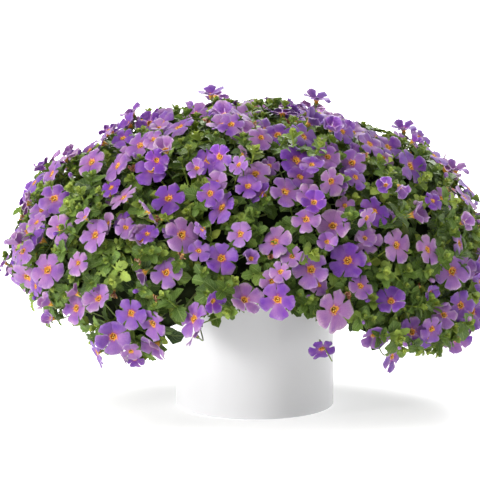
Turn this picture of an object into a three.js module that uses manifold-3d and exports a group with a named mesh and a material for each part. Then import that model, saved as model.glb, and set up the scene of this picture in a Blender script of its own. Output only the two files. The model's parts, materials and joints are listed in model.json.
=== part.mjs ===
// A potted trailing bacopa: a mound of leafy stems set with five-petalled violet blooms, growing from
// soil in a plain white cylindrical pot. Millimetres, +Z up, the origin at the centre of the pot's foot,
// and -Y towards the side that the plant is seen from.
import * as THREE from "three";
import { mergeVertices } from "three/addons/utils/BufferGeometryUtils.js";
import Module from "manifold-3d";

const wasm = await Module();
wasm.setup();

// Driving dimensions
const pot = { radius: 60, height: 105, wall: 3, floor: 4, chamfer: 1.6, facets: 32 };
const soil = { gap: 0.3, edgeHeight: 90, middleHeight: 94, facets: 26 };
const hole = { depthBelow: 12, gap: 0.7, facets: 3 };
const mound = {
  centreHeight: 100, // where the radial form is measured from
  reach: 172, // mean horizontal reach of the blooms
  reachSides: 8, // wider left and right than front to back
  reachLeft: 4, // and a little wider to the left
  rise: 124, // from the centre to the top
  drop: 86, // from the centre to the lowest hanging blooms
  fullness: 2.45, // 2 is an ellipse, more is boxier
  fullnessBelow: 2.3,
  lump: 5, // height of the swells and hollows
};
const skirt = {
  edge: 68, // how low the outermost blooms grow
  clearOfPot: 24,
  swags: [
    { at: 0.05, width: 0.4, by: 24 }, // parted over the pot's front
    { at: -0.73, width: 0.3, by: -20 }, // hanging lowest to the left and right of it
    { at: 0.95, width: 0.4, by: -22 },
    { at: -1.57, width: 0.4, by: 20 },
    { at: 2.3, width: 0.5, by: -14 },
  ],
};
const stemPlan = { count: 20, candidates: 60, margin: 16 };
const stemRoot = { inner: 8, outer: 29, rimOut: 12, rimRise: 20, rimBelow: 165 }; // where stems leave soil
const cushion = { sides: 10, step: 2.5, most: 110, border: 1, ragged: 0.97, inner: 0.55 };
const cushionDepth = { middle: 19, ridge: 19, valley: 26, rough: 4, rim: 29, foot: 32, under: 42 };
const sprayPlan = { count: 38, candidates: 60, margin: 5, base: 15, widest: 40 };
const bloomPlan = { tries: 12000, sameSpray: 26.5, otherSpray: 31.2, lean: 0.45, bend: 0.35, rough: 9 };
const light = new THREE.Vector3(-0.1, -0.25, 0.3); // what every bloom turns a little towards
const bloomSize = { small: 12.6, large: 15, tube: 4.6, throat: 1.4, notch: 0.72, lobe: 0.42, cup: 0.6 };
const shootPlan = { tries: 9000, most: 72, margin: 9, fromBloom: 17.2, fromShoot: 23, shallow: 4, deep: 8 };
const leafSize = { long: 25, least: 10, shrink: 0.87, thickness: 1.2, side: 0.36, sideAt: 0.45 };
const leafTilt = { droop: 0.2, raise: 0.3, stray: 0.3 }; // radians
const clearance = { leaf: 2.4, rod: 2.6, petal: 1.9, pot: 5 };
const rodSize = { root: 2.2, tip: 1.5, twig: 0.85, calyx: 1.35, past: 0.1, seat: 0.35, merge: 0.1 };
const seed = 7;

const up = new THREE.Vector3(0, 0, 1);
const centre = new THREE.Vector3(0, 0, mound.centreHeight);
const degrees = Math.PI / 180;

// The same row of numbers from 0 to 1 on every run
function makeDice(start) {
  let state = start >>> 0;
  return () => {
    state = (state + 0x6d2b79f5) >>> 0;
    let t = state;
    t = Math.imul(t ^ (t >>> 15), t | 1);
    t ^= t + Math.imul(t ^ (t >>> 7), t | 61);
    return ((t ^ (t >>> 14)) >>> 0) / 4294967296;
  };
}

// Form of the mound: a direction from its centre, and the blooms' surface in that direction
function direction(azimuth, elevation) {
  const flat = Math.cos(elevation);
  return new THREE.Vector3(flat * Math.cos(azimuth), flat * Math.sin(azimuth), Math.sin(elevation));
}

function moundRadius(d) {
  const azimuth = Math.atan2(d.y, d.x);
  const across = Math.hypot(d.x, d.y);
  const wide = mound.reach + mound.reachSides * Math.cos(2 * azimuth) - mound.reachLeft * Math.cos(azimuth);
  const above = d.z >= 0;
  const tall = above ? mound.rise : mound.drop;
  const power = above ? mound.fullness : mound.fullnessBelow;
  const shape = Math.pow(across / wide, power) + Math.pow(Math.abs(d.z) / tall, power);
  const swell = Math.sin(4.3 * d.x + 1.1) * Math.sin(5.1 * d.y + 0.4) + Math.sin(7.1 * d.z + 3 * d.x + 2.2);
  return Math.pow(shape, -1 / power) + mound.lump * 0.5 * swell;
}

function moundPoint(d, depth = 0) {
  return d.clone().multiplyScalar(moundRadius(d) - depth).add(centre);
}

function moundNormal(d) {
  const p = moundPoint(d);
  const step = 0.5;
  const height = (q) => {
    const r = q.clone().sub(centre);
    return r.length() - moundRadius(r.clone().normalize());
  };
  const slope = ["x", "y", "z"].map((axis) => {
    const q = p.clone();
    q[axis] += step;
    return height(q) - height(p);
  });
  return new THREE.Vector3(...slope).normalize();
}

// The lowest height of blooms at an azimuth
function edgeHeight(azimuth) {
  let height = skirt.edge;
  for (const swag of skirt.swags) {
    const away = wrap(azimuth + Math.PI / 2 - swag.at);
    height += swag.by * Math.exp(-Math.pow(away / swag.width, 2));
  }
  return height;
}

function wrap(angle) {
  return angle - 2 * Math.PI * Math.round(angle / (2 * Math.PI));
}

function isOnMound(place, margin = 0) {
  const azimuth = Math.atan2(place.y, place.x);
  const nearPot = Math.hypot(place.x, place.y) < pot.radius + skirt.clearOfPot;
  return place.z > edgeHeight(azimuth) + margin && !(nearPot && place.z < pot.height + 20);
}

function randomDirection(dice) {
  const azimuth = 2 * Math.PI * dice();
  return direction(azimuth, Math.asin(-0.75 + 1.75 * dice()));
}

// Places spread evenly over the mound: each is the candidate that is farthest from those before it
function spread(plan, dice) {
  const chosen = [];
  while (chosen.length < plan.count) {
    let best = null;
    for (let k = 0; k < plan.candidates; k++) {
      const d = randomDirection(dice);
      const place = moundPoint(d);
      if (!isOnMound(place, plan.margin)) continue;
      const room = nearest(place, chosen).distance;
      if (!best || room > best.room) best = { d, place, room };
    }
    if (best) chosen.push(best);
  }
  return chosen;
}

function nearest(place, list) {
  let found = { distance: Infinity, item: null };
  for (const item of list) {
    const distance = item.place.distanceTo(place);
    if (distance < found.distance) found = { distance, item };
  }
  return found;
}

// Where a twig or stalk at d grows from: inside its stem's dense middle, drawn in towards the stem
function footOf(d, stem) {
  const drawnIn = d.clone().multiplyScalar(0.72).addScaledVector(stem.d, 0.28).normalize();
  return moundPoint(drawnIn, cushionDepth.foot);
}

// A stem rises from the soil in one upright plane, a low one over the pot's rim, to its dense middle
function stemPath(stem) {
  const azimuth = Math.atan2(stem.d.y, stem.d.x);
  const at = (r, z) => new THREE.Vector3(r * Math.cos(azimuth), r * Math.sin(azimuth), z);
  const height = (stem.place.z - skirt.edge) / (mound.centreHeight + mound.rise - skirt.edge);
  const root = stemRoot.outer + (stemRoot.inner - stemRoot.outer) * height;
  const points = [at(root, soil.edgeHeight - hole.depthBelow + 2.6), at(root, soil.middleHeight + 6)];
  const overRim = at(pot.radius + stemRoot.rimOut, pot.height + stemRoot.rimRise);
  if (stem.place.z < stemRoot.rimBelow) points.push(overRim);
  points.push(moundPoint(stem.d, cushionDepth.under + 8), moundPoint(stem.d, cushionDepth.under - 7));
  return points;
}

// A bloom faces out and to the light, leans at random, and bends outwards from its spray's base
function bloomAt(d, spray, dice) {
  const place = moundPoint(d, (dice() - 0.5) * bloomPlan.rough);
  const stray = new THREE.Vector3(dice() - 0.5, dice() - 0.5, dice() - 0.5);
  const outwards = place.clone().sub(spray.base).normalize();
  const face = moundNormal(d).add(light).addScaledVector(stray, 2 * bloomPlan.lean);
  face.addScaledVector(outwards, bloomPlan.bend).normalize();
  const radius = bloomSize.small + (bloomSize.large - bloomSize.small) * dice();
  const seat = place.clone().addScaledVector(face, -bloomSize.tube);
  return { place, face, radius, turn: 2 * Math.PI * dice(), seat, spray };
}

function planPlant() {
  const dice = makeDice(seed);
  const stems = spread(stemPlan, dice);
  for (const stem of stems) Object.assign(stem, { path: stemPath(stem), shoots: [], sprays: [] });
  const sprays = spread(sprayPlan, dice);
  for (const spray of sprays) {
    spray.base = spray.place.clone().addScaledVector(moundNormal(spray.d), -sprayPlan.base);
    spray.stem = nearest(spray.place, stems).item;
    spray.foot = footOf(spray.d, spray.stem);
    spray.blooms = [];
    spray.stem.sprays.push(spray);
  }
  const blooms = [];
  const addBloom = (d, spray) => {
    const bloom = bloomAt(d, spray, dice);
    const apart = (b) => (b.spray === spray ? bloomPlan.sameSpray : bloomPlan.otherSpray);
    if (blooms.some((b) => b.place.distanceTo(bloom.place) < apart(b))) return;
    spray.blooms.push(bloom);
    blooms.push(bloom);
  };
  for (const spray of sprays) addBloom(spray.d, spray);
  for (let k = 0; k < bloomPlan.tries; k++) {
    const d = randomDirection(dice);
    const place = moundPoint(d);
    const near = nearest(place, sprays);
    if (isOnMound(place) && near.distance < sprayPlan.widest) addBloom(d, near.item);
  }
  planShoots(stems, sprays, blooms, dice);
  return { stems, sprays, blooms };
}

// Leafy shoots fill the gaps between blooms, each leaf as long as there is room for
function planShoots(stems, sprays, blooms, dice) {
  const rods = new Map();
  const leaves = new Map();
  for (const b of blooms) noteRod(rods, b.seat, b.spray.base);
  for (const s of sprays) noteRod(rods, s.base, s.foot);
  const shoots = [];
  for (let k = 0; k < shootPlan.tries && shoots.length < shootPlan.most; k++) {
    const d = randomDirection(dice);
    const place = moundPoint(d, shootPlan.shallow + (shootPlan.deep - shootPlan.shallow) * dice());
    const spin = 2 * Math.PI * dice();
    if (!isOnMound(place, shootPlan.margin)) continue;
    if (nearest(place, blooms).distance < shootPlan.fromBloom) continue;
    if (nearest(place, shoots).distance < shootPlan.fromShoot) continue;
    const stem = nearest(place, stems).item;
    const foot = footOf(d, stem);
    const stalk = [0.15, 0.3, 0.45, 0.6].map((t) => place.clone().lerp(foot, t));
    if (stalk.some((p) => isNoted(rods, p, clearance.rod))) continue;
    const face = moundNormal(d).addScaledVector(up, 0.15).normalize();
    const shoot = { place, face, foot, leaves: [] };
    for (let side = 0; side < 4; side++) {
      const angle = spin + (Math.PI / 2) * side + leafTilt.stray * (dice() - 0.5);
      const lift = leafTilt.raise * dice() - leafTilt.droop * dice();
      for (let length = leafSize.long; length > leafSize.least; length *= leafSize.shrink) {
        const leaf = makeLeaf(shoot, angle, lift, length);
        const samples = leafSamples(leaf);
        if (!samples.every((p) => isFree(p, blooms, rods, leaves))) continue;
        shoot.leaves.push(leaf);
        break;
      }
    }
    if (shoot.leaves.length < 2) continue;
    for (const leaf of shoot.leaves) for (const p of leafSamples(leaf)) note(leaves, p);
    noteRod(rods, place.clone().lerp(foot, 0.15), foot);
    stem.shoots.push(shoot);
    shoots.push(shoot);
  }
}

// Points kept by the cell of space that they are in, so that what is near is found quickly
const cell = 4;

function note(map, p) {
  const key = [p.x, p.y, p.z].map((c) => Math.floor(c / cell)).join();
  if (!map.has(key)) map.set(key, []);
  map.get(key).push(p);
}

function noteRod(map, from, to) {
  const steps = Math.ceil(from.distanceTo(to) / 1.5);
  for (let s = 0; s <= steps; s++) note(map, from.clone().lerp(to, s / steps));
}

function isNoted(map, p, within) {
  const [a, b, c] = [p.x, p.y, p.z].map((v) => Math.floor(v / cell));
  for (const i of [a - 1, a, a + 1])
    for (const j of [b - 1, b, b + 1])
      for (const k of [c - 1, c, c + 1])
        if ((map.get(`${i},${j},${k}`) ?? []).some((q) => q.distanceTo(p) < within)) return true;
  return false;
}

function makeLeaf(shoot, angle, lift, length) {
  const side = Math.abs(shoot.face.z) > 0.9 ? new THREE.Vector3(1, 0, 0) : up.clone();
  const u = side.cross(shoot.face).normalize();
  const v = shoot.face.clone().cross(u);
  const out = u.multiplyScalar(Math.cos(angle)).addScaledVector(v, Math.sin(angle));
  const across = shoot.face.clone().cross(out);
  const along = out.multiplyScalar(Math.cos(lift)).addScaledVector(shoot.face, Math.sin(lift));
  return { root: shoot.place, face: shoot.face, along, across, length, angle };
}

// A point of a leaf, as parts of its length along and across it, and millimetres up
function leafPoint(leaf, along, across, height) {
  return leaf.root
    .clone()
    .addScaledVector(leaf.along, along * leaf.length)
    .addScaledVector(leaf.across, across * leaf.length)
    .addScaledVector(leaf.face, height);
}

function leafSamples(leaf) {
  const rows = [
    [0.22, 0],
    [0.42, 0.3],
    [0.45, 0.1],
    [0.62, 0.2],
    [0.66, 0],
    [0.8, 0.16],
    [0.84, 0],
    [1, 0],
  ];
  return rows.flatMap(([along, across]) => {
    if (!across) return [leafPoint(leaf, along, 0, 0)];
    return [leafPoint(leaf, along, across, 0.5), leafPoint(leaf, along, -across, 0.5)];
  });
}

function isFree(p, blooms, rods, leaves) {
  if (p.z < pot.height + clearance.pot && Math.hypot(p.x, p.y) < pot.radius + clearance.pot) return false;
  for (const b of blooms) {
    const from = p.clone().sub(b.place);
    if (from.length() > b.radius + 4) continue;
    const height = from.dot(b.face);
    const out = Math.sqrt(Math.max(0, from.lengthSq() - height * height));
    const back = bloomSize.cup - (bloomSize.tube + bloomSize.cup) * Math.max(0, 1 - out / b.radius);
    if (out < b.radius + 1.2 && height < clearance.petal && height > back - clearance.petal) return false;
  }
  return !isNoted(rods, p, clearance.rod) && !isNoted(leaves, p, clearance.leaf);
}

function solidFrom(points, triangles) {
  const vertProperties = new Float32Array(points.flatMap((p) => [p.x, p.y, p.z]));
  const triVerts = new Uint32Array(triangles.flat());
  return new wasm.Manifold(new wasm.Mesh({ numProp: 3, vertProperties, triVerts }));
}

function solidOf(geometry) {
  const bare = geometry.clone().deleteAttribute("normal").deleteAttribute("uv");
  const merged = mergeVertices(bare, 1e-4);
  return new wasm.Manifold(
    new wasm.Mesh({
      numProp: 3,
      vertProperties: merged.attributes.position.array,
      triVerts: new Uint32Array(merged.index.array),
    }),
  );
}

function geometryOf(solid) {
  const mesh = solid.getMesh();
  return new THREE.BufferGeometry()
    .setAttribute("position", new THREE.BufferAttribute(mesh.vertProperties, 3))
    .setIndex(new THREE.BufferAttribute(mesh.triVerts, 1));
}

// A three-sided rod through points, each ring with its own radius
function rod(points, radii) {
  const rings = [];
  let side = null;
  points.forEach((p, k) => {
    const before = points[Math.max(0, k - 1)];
    const after = points[Math.min(points.length - 1, k + 1)];
    const along = after.clone().sub(before).normalize();
    if (!side) side = Math.abs(along.z) > 0.9 ? new THREE.Vector3(1, 0, 0) : up.clone();
    side = side.clone().addScaledVector(along, -side.dot(along)).normalize();
    const other = along.clone().cross(side);
    for (let s = 0; s < 3; s++) {
      const angle = (2 * Math.PI * s) / 3;
      rings.push(
        p
          .clone()
          .addScaledVector(side, radii[k] * Math.cos(angle))
          .addScaledVector(other, radii[k] * Math.sin(angle)),
      );
    }
  });
  const faces = [[2, 1, 0]];
  for (let k = 0; k < points.length - 1; k++)
    for (let s = 0; s < 3; s++) {
      const [a, b] = [3 * k + s, 3 * k + ((s + 1) % 3)];
      faces.push([a, b, b + 3], [a, b + 3, a + 3]);
    }
  const end = 3 * (points.length - 1);
  faces.push([end, end + 1, end + 2]);
  return solidFrom(rings, faces);
}

// A closed fan from a rim over a front point, narrowing behind to three corners and on to three at a foot
function fanSolid(rim, front, axis, waist, waistRadius, foot, footRadius) {
  const count = rim.length;
  const side = rim[0].clone().sub(waist);
  const u = side.addScaledVector(axis, -side.dot(axis)).normalize();
  const v = axis.clone().cross(u);
  const along = waist.clone().sub(foot).normalize();
  const points = [...rim, front];
  const corners = [0.5, 1.5, 2.5].map((s) => {
    const angle = (2 * Math.PI * s) / 3;
    return u.clone().multiplyScalar(Math.cos(angle)).addScaledVector(v, Math.sin(angle));
  });
  for (const out of corners) points.push(waist.clone().addScaledVector(out, waistRadius));
  for (const out of corners) {
    const bent = out.clone().addScaledVector(along, -out.dot(along)).setLength(footRadius);
    points.push(foot.clone().add(bent));
  }
  const faces = [];
  const corner = (k) => count + 1 + Math.floor((k * 3) / count);
  for (let k = 0; k < count; k++) {
    const next = (k + 1) % count;
    faces.push([k, next, count], [next, k, corner(k)]);
    if (corner(next) !== corner(k)) faces.push([next, corner(k), corner(next)]);
  }
  const ring = count + 1;
  for (let s = 0; s < 3; s++) {
    const [a, b] = [ring + s, ring + ((s + 1) % 3)];
    faces.push([b, a, a + 3], [b, a + 3, b + 3]);
  }
  faces.push([ring + 3, ring + 5, ring + 4]);
  return solidFrom(points, faces);
}

// A bloom: five lobes round a sunken throat, narrowing behind to its tube and its stalk
function bloomSolid(bloom) {
  const side = Math.abs(bloom.face.z) > 0.9 ? new THREE.Vector3(1, 0, 0) : up.clone();
  const u = side.cross(bloom.face).normalize();
  const v = bloom.face.clone().cross(u);
  const point = (radius, angle, height) =>
    bloom.place
      .clone()
      .addScaledVector(u, radius * Math.cos(angle))
      .addScaledVector(v, radius * Math.sin(angle))
      .addScaledVector(bloom.face, height);
  const rim = [];
  for (let petal = 0; petal < 5; petal++) {
    const middle = bloom.turn + (2 * Math.PI * petal) / 5;
    for (const lobe of [-1, 1]) rim.push(point(bloom.radius, middle + lobe * bloomSize.lobe, bloomSize.cup));
    rim.push(point(bloom.radius * bloomSize.notch, middle + Math.PI / 5, -0.4));
  }
  const throat = point(0, 0, -bloomSize.throat);
  const { base } = bloom.spray;
  const end = base.clone().addScaledVector(base.clone().sub(bloom.seat).normalize(), rodSize.past);
  return fanSolid(rim, throat, bloom.face, bloom.seat, rodSize.calyx, end, rodSize.twig);
}

// A shoot: up to four toothed leaves crosswise, each folded along its middle, on a stalk
function shootSolid(shoot) {
  const { side, sideAt, thickness } = leafSize;
  const rim = [];
  shoot.leaves.forEach((leaf, k) => {
    const next = shoot.leaves[(k + 1) % shoot.leaves.length];
    const gap = next.angle - leaf.angle + (k + 1 < shoot.leaves.length ? 0 : 2 * Math.PI);
    const teeth = [
      [sideAt, -side, 1.1],
      [0.6, -0.22, 0.3],
      [0.74, -0.27, 0.7],
      [1, 0, -0.6],
      [0.74, 0.27, 0.7],
      [0.6, 0.22, 0.3],
      [sideAt, side, 1.1],
    ];
    for (const [along, across, height] of teeth) rim.push(leafPoint(leaf, along, across, height));
    const between = makeLeaf(shoot, leaf.angle + gap / 2, 0, leafSize.long);
    rim.push(leafPoint(between, 0.1, 0, -0.1));
  });
  const front = shoot.place.clone().addScaledVector(shoot.face, thickness / 2);
  const waist = shoot.place.clone().addScaledVector(shoot.face, -thickness / 2 - 0.4);
  return fanSolid(rim, front, shoot.face, waist, rodSize.twig, shoot.foot, rodSize.twig);
}

// The dense middle of a leafy stem: a rough cushion beneath its share of the mound
function cushionSolid(stem, stems) {
  const dice = makeDice(seed + stems.indexOf(stem));
  const side = Math.abs(stem.d.z) > 0.9 ? new THREE.Vector3(1, 0, 0) : up.clone();
  const u = side.cross(stem.d).normalize();
  const v = stem.d.clone().cross(u);
  const toward = (angle, reach) => {
    const out = u.clone().multiplyScalar(Math.cos(angle)).addScaledVector(v, Math.sin(angle));
    return stem.d
      .clone()
      .addScaledVector(out, reach / moundRadius(stem.d))
      .normalize();
  };
  const ring = [];
  const rim = [];
  for (let k = 0; k < 2 * cushion.sides; k++) {
    const angle = (Math.PI * k) / cushion.sides;
    let reach = 0;
    let inside = true;
    while (inside && reach < cushion.most) {
      reach += cushion.step;
      const place = moundPoint(toward(angle, reach));
      inside = isOnMound(place) && nearest(place, stems).item === stem;
    }
    reach = (reach - cushion.step - cushion.border) * (k % 2 ? cushion.ragged : 1);
    rim.push(moundPoint(toward(angle, reach), cushionDepth.rim));
    const depth = (k % 4 ? cushionDepth.valley : cushionDepth.ridge) + cushionDepth.rough * dice();
    if (k % 2 === 0) ring.push(moundPoint(toward(angle, reach * cushion.inner), depth));
  }
  const points = [...ring, ...rim];
  points.push(moundPoint(stem.d, cushionDepth.middle), moundPoint(stem.d, cushionDepth.under));
  const faces = [];
  const n = cushion.sides;
  const [top, under] = [3 * n, 3 * n + 1];
  for (let k = 0; k < n; k++) {
    const next = (k + 1) % n;
    const [a, b, c] = [n + 2 * k, n + 2 * k + 1, n + 2 * next];
    faces.push([k, next, top], [a, b, k], [b, next, k], [b, c, next], [b, a, under], [c, b, under]);
  }
  return solidFrom(points, faces);
}

function potSolid() {
  const { radius, height, wall, floor, chamfer } = pot;
  const profile = [
    [0, 0],
    [radius - chamfer, 0],
    [radius, chamfer],
    [radius, height - wall * 0.3],
    [radius - wall * 0.3, height],
    [radius - wall * 0.7, height],
    [radius - wall, height - wall * 0.3],
    [radius - wall, floor],
    [0, floor],
  ];
  return lathe(profile, pot.facets);
}

function soilSolid(stems) {
  const radius = pot.radius - pot.wall - soil.gap;
  const bottom = pot.floor + soil.gap;
  const profile = [
    [0, bottom],
    [radius, bottom],
    [radius, soil.edgeHeight - 1],
    [radius - 9, soil.edgeHeight + 1.4],
    [0, soil.middleHeight],
  ];
  let made = lathe(profile, soil.facets);
  for (const stem of stems) {
    const cutter = new THREE.CylinderGeometry(
      rodSize.root + hole.gap,
      rodSize.root + hole.gap,
      2 * hole.depthBelow,
      hole.facets,
    );
    cutter.rotateX(Math.PI / 2).rotateZ(Math.PI / 2);
    cutter.translate(stem.path[0].x, stem.path[0].y, stem.path[0].z - soil.gap + hole.depthBelow);
    made = made.subtract(solidOf(cutter));
  }
  return made;
}

function lathe(profile, facets) {
  const geometry = new THREE.LatheGeometry(
    profile.map(([x, y]) => new THREE.Vector2(x, y)),
    facets,
  );
  return solidOf(geometry.rotateX(Math.PI / 2));
}

function joined(pieces) {
  const whole = wasm.Manifold.union(pieces).asOriginal().simplify(rodSize.merge);
  return whole.decompose().reduce((a, b) => (b.volume() > a.volume() ? b : a));
}

// A twig carries a spray: it ends just short of where the spray's stalks meet
function twigSolid(spray) {
  const stalks = spraySolid(spray);
  const along = spray.base.clone().sub(spray.foot).normalize();
  const shortBy = (gap) => {
    const end = spray.base.clone().addScaledVector(along, -gap);
    return rod([spray.foot, end], [rodSize.calyx, rodSize.calyx]);
  };
  let gap = rodSize.seat;
  while (shortBy(gap).minGap(stalks, 2 * rodSize.seat) < rodSize.seat) gap += 0.1;
  return shortBy(gap);
}

// A leafy stem with its dense middle, its shoots, and the twigs that end beneath its sprays of blooms
function stemSolid(stem, stems) {
  const last = stem.path.length - 1;
  const radii = stem.path.map((p, k) => rodSize.root + ((rodSize.tip - rodSize.root) * k) / last);
  const pieces = [rod(stem.path, radii), cushionSolid(stem, stems)];
  for (const spray of stem.sprays) pieces.push(twigSolid(spray));
  for (const shoot of stem.shoots) pieces.push(shootSolid(shoot));
  return joined(pieces);
}

function spraySolid(spray) {
  return joined(spray.blooms.map(bloomSolid));
}

const finishes = {
  pot: new THREE.MeshStandardMaterial({ color: 0xf1f1f2, roughness: 0.35, metalness: 0 }),
  soil: new THREE.MeshStandardMaterial({ color: 0x3a2a1e, roughness: 0.95, metalness: 0 }),
  leaf: new THREE.MeshStandardMaterial({ color: 0x53752f, roughness: 0.6, metalness: 0 }),
  petal: new THREE.MeshStandardMaterial({ color: 0x9467bd, roughness: 0.55, metalness: 0 }),
};

function named(name, solid, finish) {
  const mesh = new THREE.Mesh(geometryOf(solid), finish);
  mesh.name = name;
  return mesh;
}

const numbered = (name, k) => `${name}_${String(k + 1).padStart(2, "0")}`;
const plant = planPlant();
const group = new THREE.Group();
group.add(named("pot", potSolid(), finishes.pot));
group.add(named("soil", soilSolid(plant.stems), finishes.soil));
plant.stems.forEach((stem, k) => {
  group.add(named(numbered("leafy_stem", k), stemSolid(stem, plant.stems), finishes.leaf));
});
plant.sprays.forEach((spray, k) => {
  group.add(named(numbered("bloom_spray", k), spraySolid(spray), finishes.petal));
});

export default group;
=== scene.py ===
# A potted trailing bacopa: finer blooms, leafy shoots and stems in the places of the plain solids.
# Metres, +Z up, -Y towards the camera. The growing rule below counts in millimetres.
import json
import math
from itertools import product
import bpy
import numpy as np
from mathutils import Euler, Matrix, Vector, noise

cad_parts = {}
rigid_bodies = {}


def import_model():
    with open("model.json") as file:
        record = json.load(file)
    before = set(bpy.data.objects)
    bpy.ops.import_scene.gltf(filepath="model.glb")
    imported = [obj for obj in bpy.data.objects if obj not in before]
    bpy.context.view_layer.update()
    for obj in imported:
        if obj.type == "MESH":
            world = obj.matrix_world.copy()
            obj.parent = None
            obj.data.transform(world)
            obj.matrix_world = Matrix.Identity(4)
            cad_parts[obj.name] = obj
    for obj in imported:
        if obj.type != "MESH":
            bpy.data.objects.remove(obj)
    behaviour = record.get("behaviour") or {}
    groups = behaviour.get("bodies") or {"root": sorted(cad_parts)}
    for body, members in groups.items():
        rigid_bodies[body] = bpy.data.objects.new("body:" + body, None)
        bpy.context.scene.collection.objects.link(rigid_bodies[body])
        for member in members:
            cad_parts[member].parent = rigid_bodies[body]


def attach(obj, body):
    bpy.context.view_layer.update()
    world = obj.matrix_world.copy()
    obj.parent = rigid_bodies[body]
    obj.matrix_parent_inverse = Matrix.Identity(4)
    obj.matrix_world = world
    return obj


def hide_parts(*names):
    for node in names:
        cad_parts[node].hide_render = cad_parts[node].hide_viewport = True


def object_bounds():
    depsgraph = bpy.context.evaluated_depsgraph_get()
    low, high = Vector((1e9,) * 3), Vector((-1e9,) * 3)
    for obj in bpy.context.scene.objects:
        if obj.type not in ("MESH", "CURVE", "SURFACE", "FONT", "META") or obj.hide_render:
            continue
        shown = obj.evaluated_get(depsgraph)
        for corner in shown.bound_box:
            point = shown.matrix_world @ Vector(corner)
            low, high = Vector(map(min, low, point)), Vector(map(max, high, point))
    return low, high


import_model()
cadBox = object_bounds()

scene = bpy.context.scene
mm = 0.001

# The growing rule, the same as the solids follow, so that every bloom and shoot has its old place

mound = {
    "centreHeight": 100, "reach": 172, "reachSides": 8, "reachLeft": 4, "rise": 124, "drop": 86,
    "fullness": 2.45, "fullnessBelow": 2.3, "lump": 5, "slopeStep": 0.5,
    "swells": [(4.3, 0, 0, 1.1), (0, 5.1, 0, 0.4), (3, 0, 7.1, 2.2)],
}
skirt = {  # each swag has its place round the pot, its width and its height
    "edge": 68, "clearOfPot": 24, "clearAbovePot": 20,
    "swags": [(0.05, 0.4, 24), (-0.73, 0.3, -20), (0.95, 0.4, -22), (-1.57, 0.4, 20), (2.3, 0.5, -14)],
}
potSize = {"radius": 60, "height": 105, "wall": 3, "floor": 4}
soilSize = {"edgeHeight": 90, "middleHeight": 94, "gap": 0.3, "holeDepth": 12}
growth = {
    "seed": 7, "stems": 20, "stemMargin": 16, "sprays": 38, "sprayMargin": 5, "candidates": 60,
    "lowest": -0.75, "sprayBase": 15, "sprayWidest": 40, "foot": 32, "footLean": 0.28, "under": (50, 35),
    "rootInner": 8, "rootOuter": 29, "rootLift": 2.6, "aboveSoil": 6,
    "rimOut": 12, "rimRise": 20, "rimBelow": 165,
}
bloomPlan = {
    "tries": 12000, "sameSpray": 26.5, "otherSpray": 31.2, "lean": 0.45, "bend": 0.35, "rough": 9,
    "small": 12.6, "large": 15, "tube": 4.6, "cup": 0.6,
}
shootPlan = {
    "tries": 9000, "most": 72, "margin": 9, "fromBloom": 17.2, "fromShoot": 23, "shallow": 4, "deep": 8,
    "long": 25, "least": 10, "shrink": 0.87, "droop": 0.2, "raise": 0.3, "stray": 0.3, "upright": 0.15,
    "clearLeaf": 2.4, "clearRod": 2.6, "clearPetal": 1.9, "clearPot": 5, "besideBloom": 1.2, "nearBloom": 4,
    "twigSamples": (0.15, 0.3, 0.45, 0.6), "sampleLift": 0.5,
    "samples": [(0.22, 0), (0.42, 0.3), (0.45, 0.1), (0.62, 0.2), (0.66, 0), (0.8, 0.16), (0.84, 0), (1, 0)],
}
notes = {"cell": 4, "rodStep": 1.5}
centre = np.array([0.0, 0.0, mound["centreHeight"]])
upwards = np.array([0.0, 0.0, 1.0])
light = np.array([-0.1, -0.25, 0.3])
fullTurn = 6.28  # radians, close enough for a random angle
steep = 0.9  # from here on a face looks up or down


def makeDice(start):
    # Random draws, the same as the solids take
    word = 0xFFFFFFFF
    state = [start & word]

    def roll():
        state[0] = (state[0] + 0x6D2B79F5) & word
        t = state[0]
        t = ((t ^ (t >> 15)) * (t | 1)) & word
        t ^= (t + (t ^ (t >> 7)) * (t | 61)) & word
        return ((t ^ (t >> 14)) & word) / (word + 1)

    return roll


def between(low, high, dice):
    return low + (high - low) * dice()


def varied(size, least, stray, dice):
    return size * (least + stray * dice())


def swing(span, dice):
    return span * (dice() - 0.5)


def strayOf(dice):
    return np.array([swing(1, dice) for axis in range(3)])


def anyAngle(dice):
    return fullTurn * dice()


def unit(v):
    return v / math.sqrt(v[0] * v[0] + v[1] * v[1] + v[2] * v[2])


def direction(azimuth, elevation):
    flat = math.cos(elevation)
    return np.array([flat * math.cos(azimuth), flat * math.sin(azimuth), math.sin(elevation)])


def frameOf(face):
    side = np.array([1.0, 0.0, 0.0]) if abs(face[2]) > steep else upwards
    u = unit(np.cross(side, face))
    return u, np.cross(face, u)


def around(face, angle):
    u, v = frameOf(face)
    return u * math.cos(angle) + v * math.sin(angle)


def over(points, places, faces):
    # How high points lie over discs, and how far out from the middles of these
    away = points - places
    height = (away * faces).sum(-1)
    return height, np.sqrt(np.maximum(0, (away * away).sum(-1) - height * height))


def moundRadius(d):
    x, y, z = (float(c) for c in d)
    azimuth = math.atan2(y, x)
    wide = mound["reach"] + mound["reachSides"] * math.cos(2 * azimuth)
    wide -= mound["reachLeft"] * math.cos(azimuth)
    tall = mound["rise" if z >= 0 else "drop"]
    power = mound["fullness" if z >= 0 else "fullnessBelow"]
    shape = (math.hypot(x, y) / wide) ** power + (abs(z) / tall) ** power
    first, second, third = (math.sin(a * x + b * y + c * z + at) for a, b, c, at in mound["swells"])
    return shape ** (-1 / power) + mound["lump"] * 0.5 * (first * second + third)


def moundPoint(d, depth=0.0):
    return d * (moundRadius(d) - depth) + centre


def moundNormal(d):
    def height(q):
        r = q - centre
        return math.sqrt(r @ r) - moundRadius(unit(r))

    p = moundPoint(d)
    base = height(p)
    return unit(np.array([height(p + step) - base for step in mound["slopeStep"] * np.eye(3)]))


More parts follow.
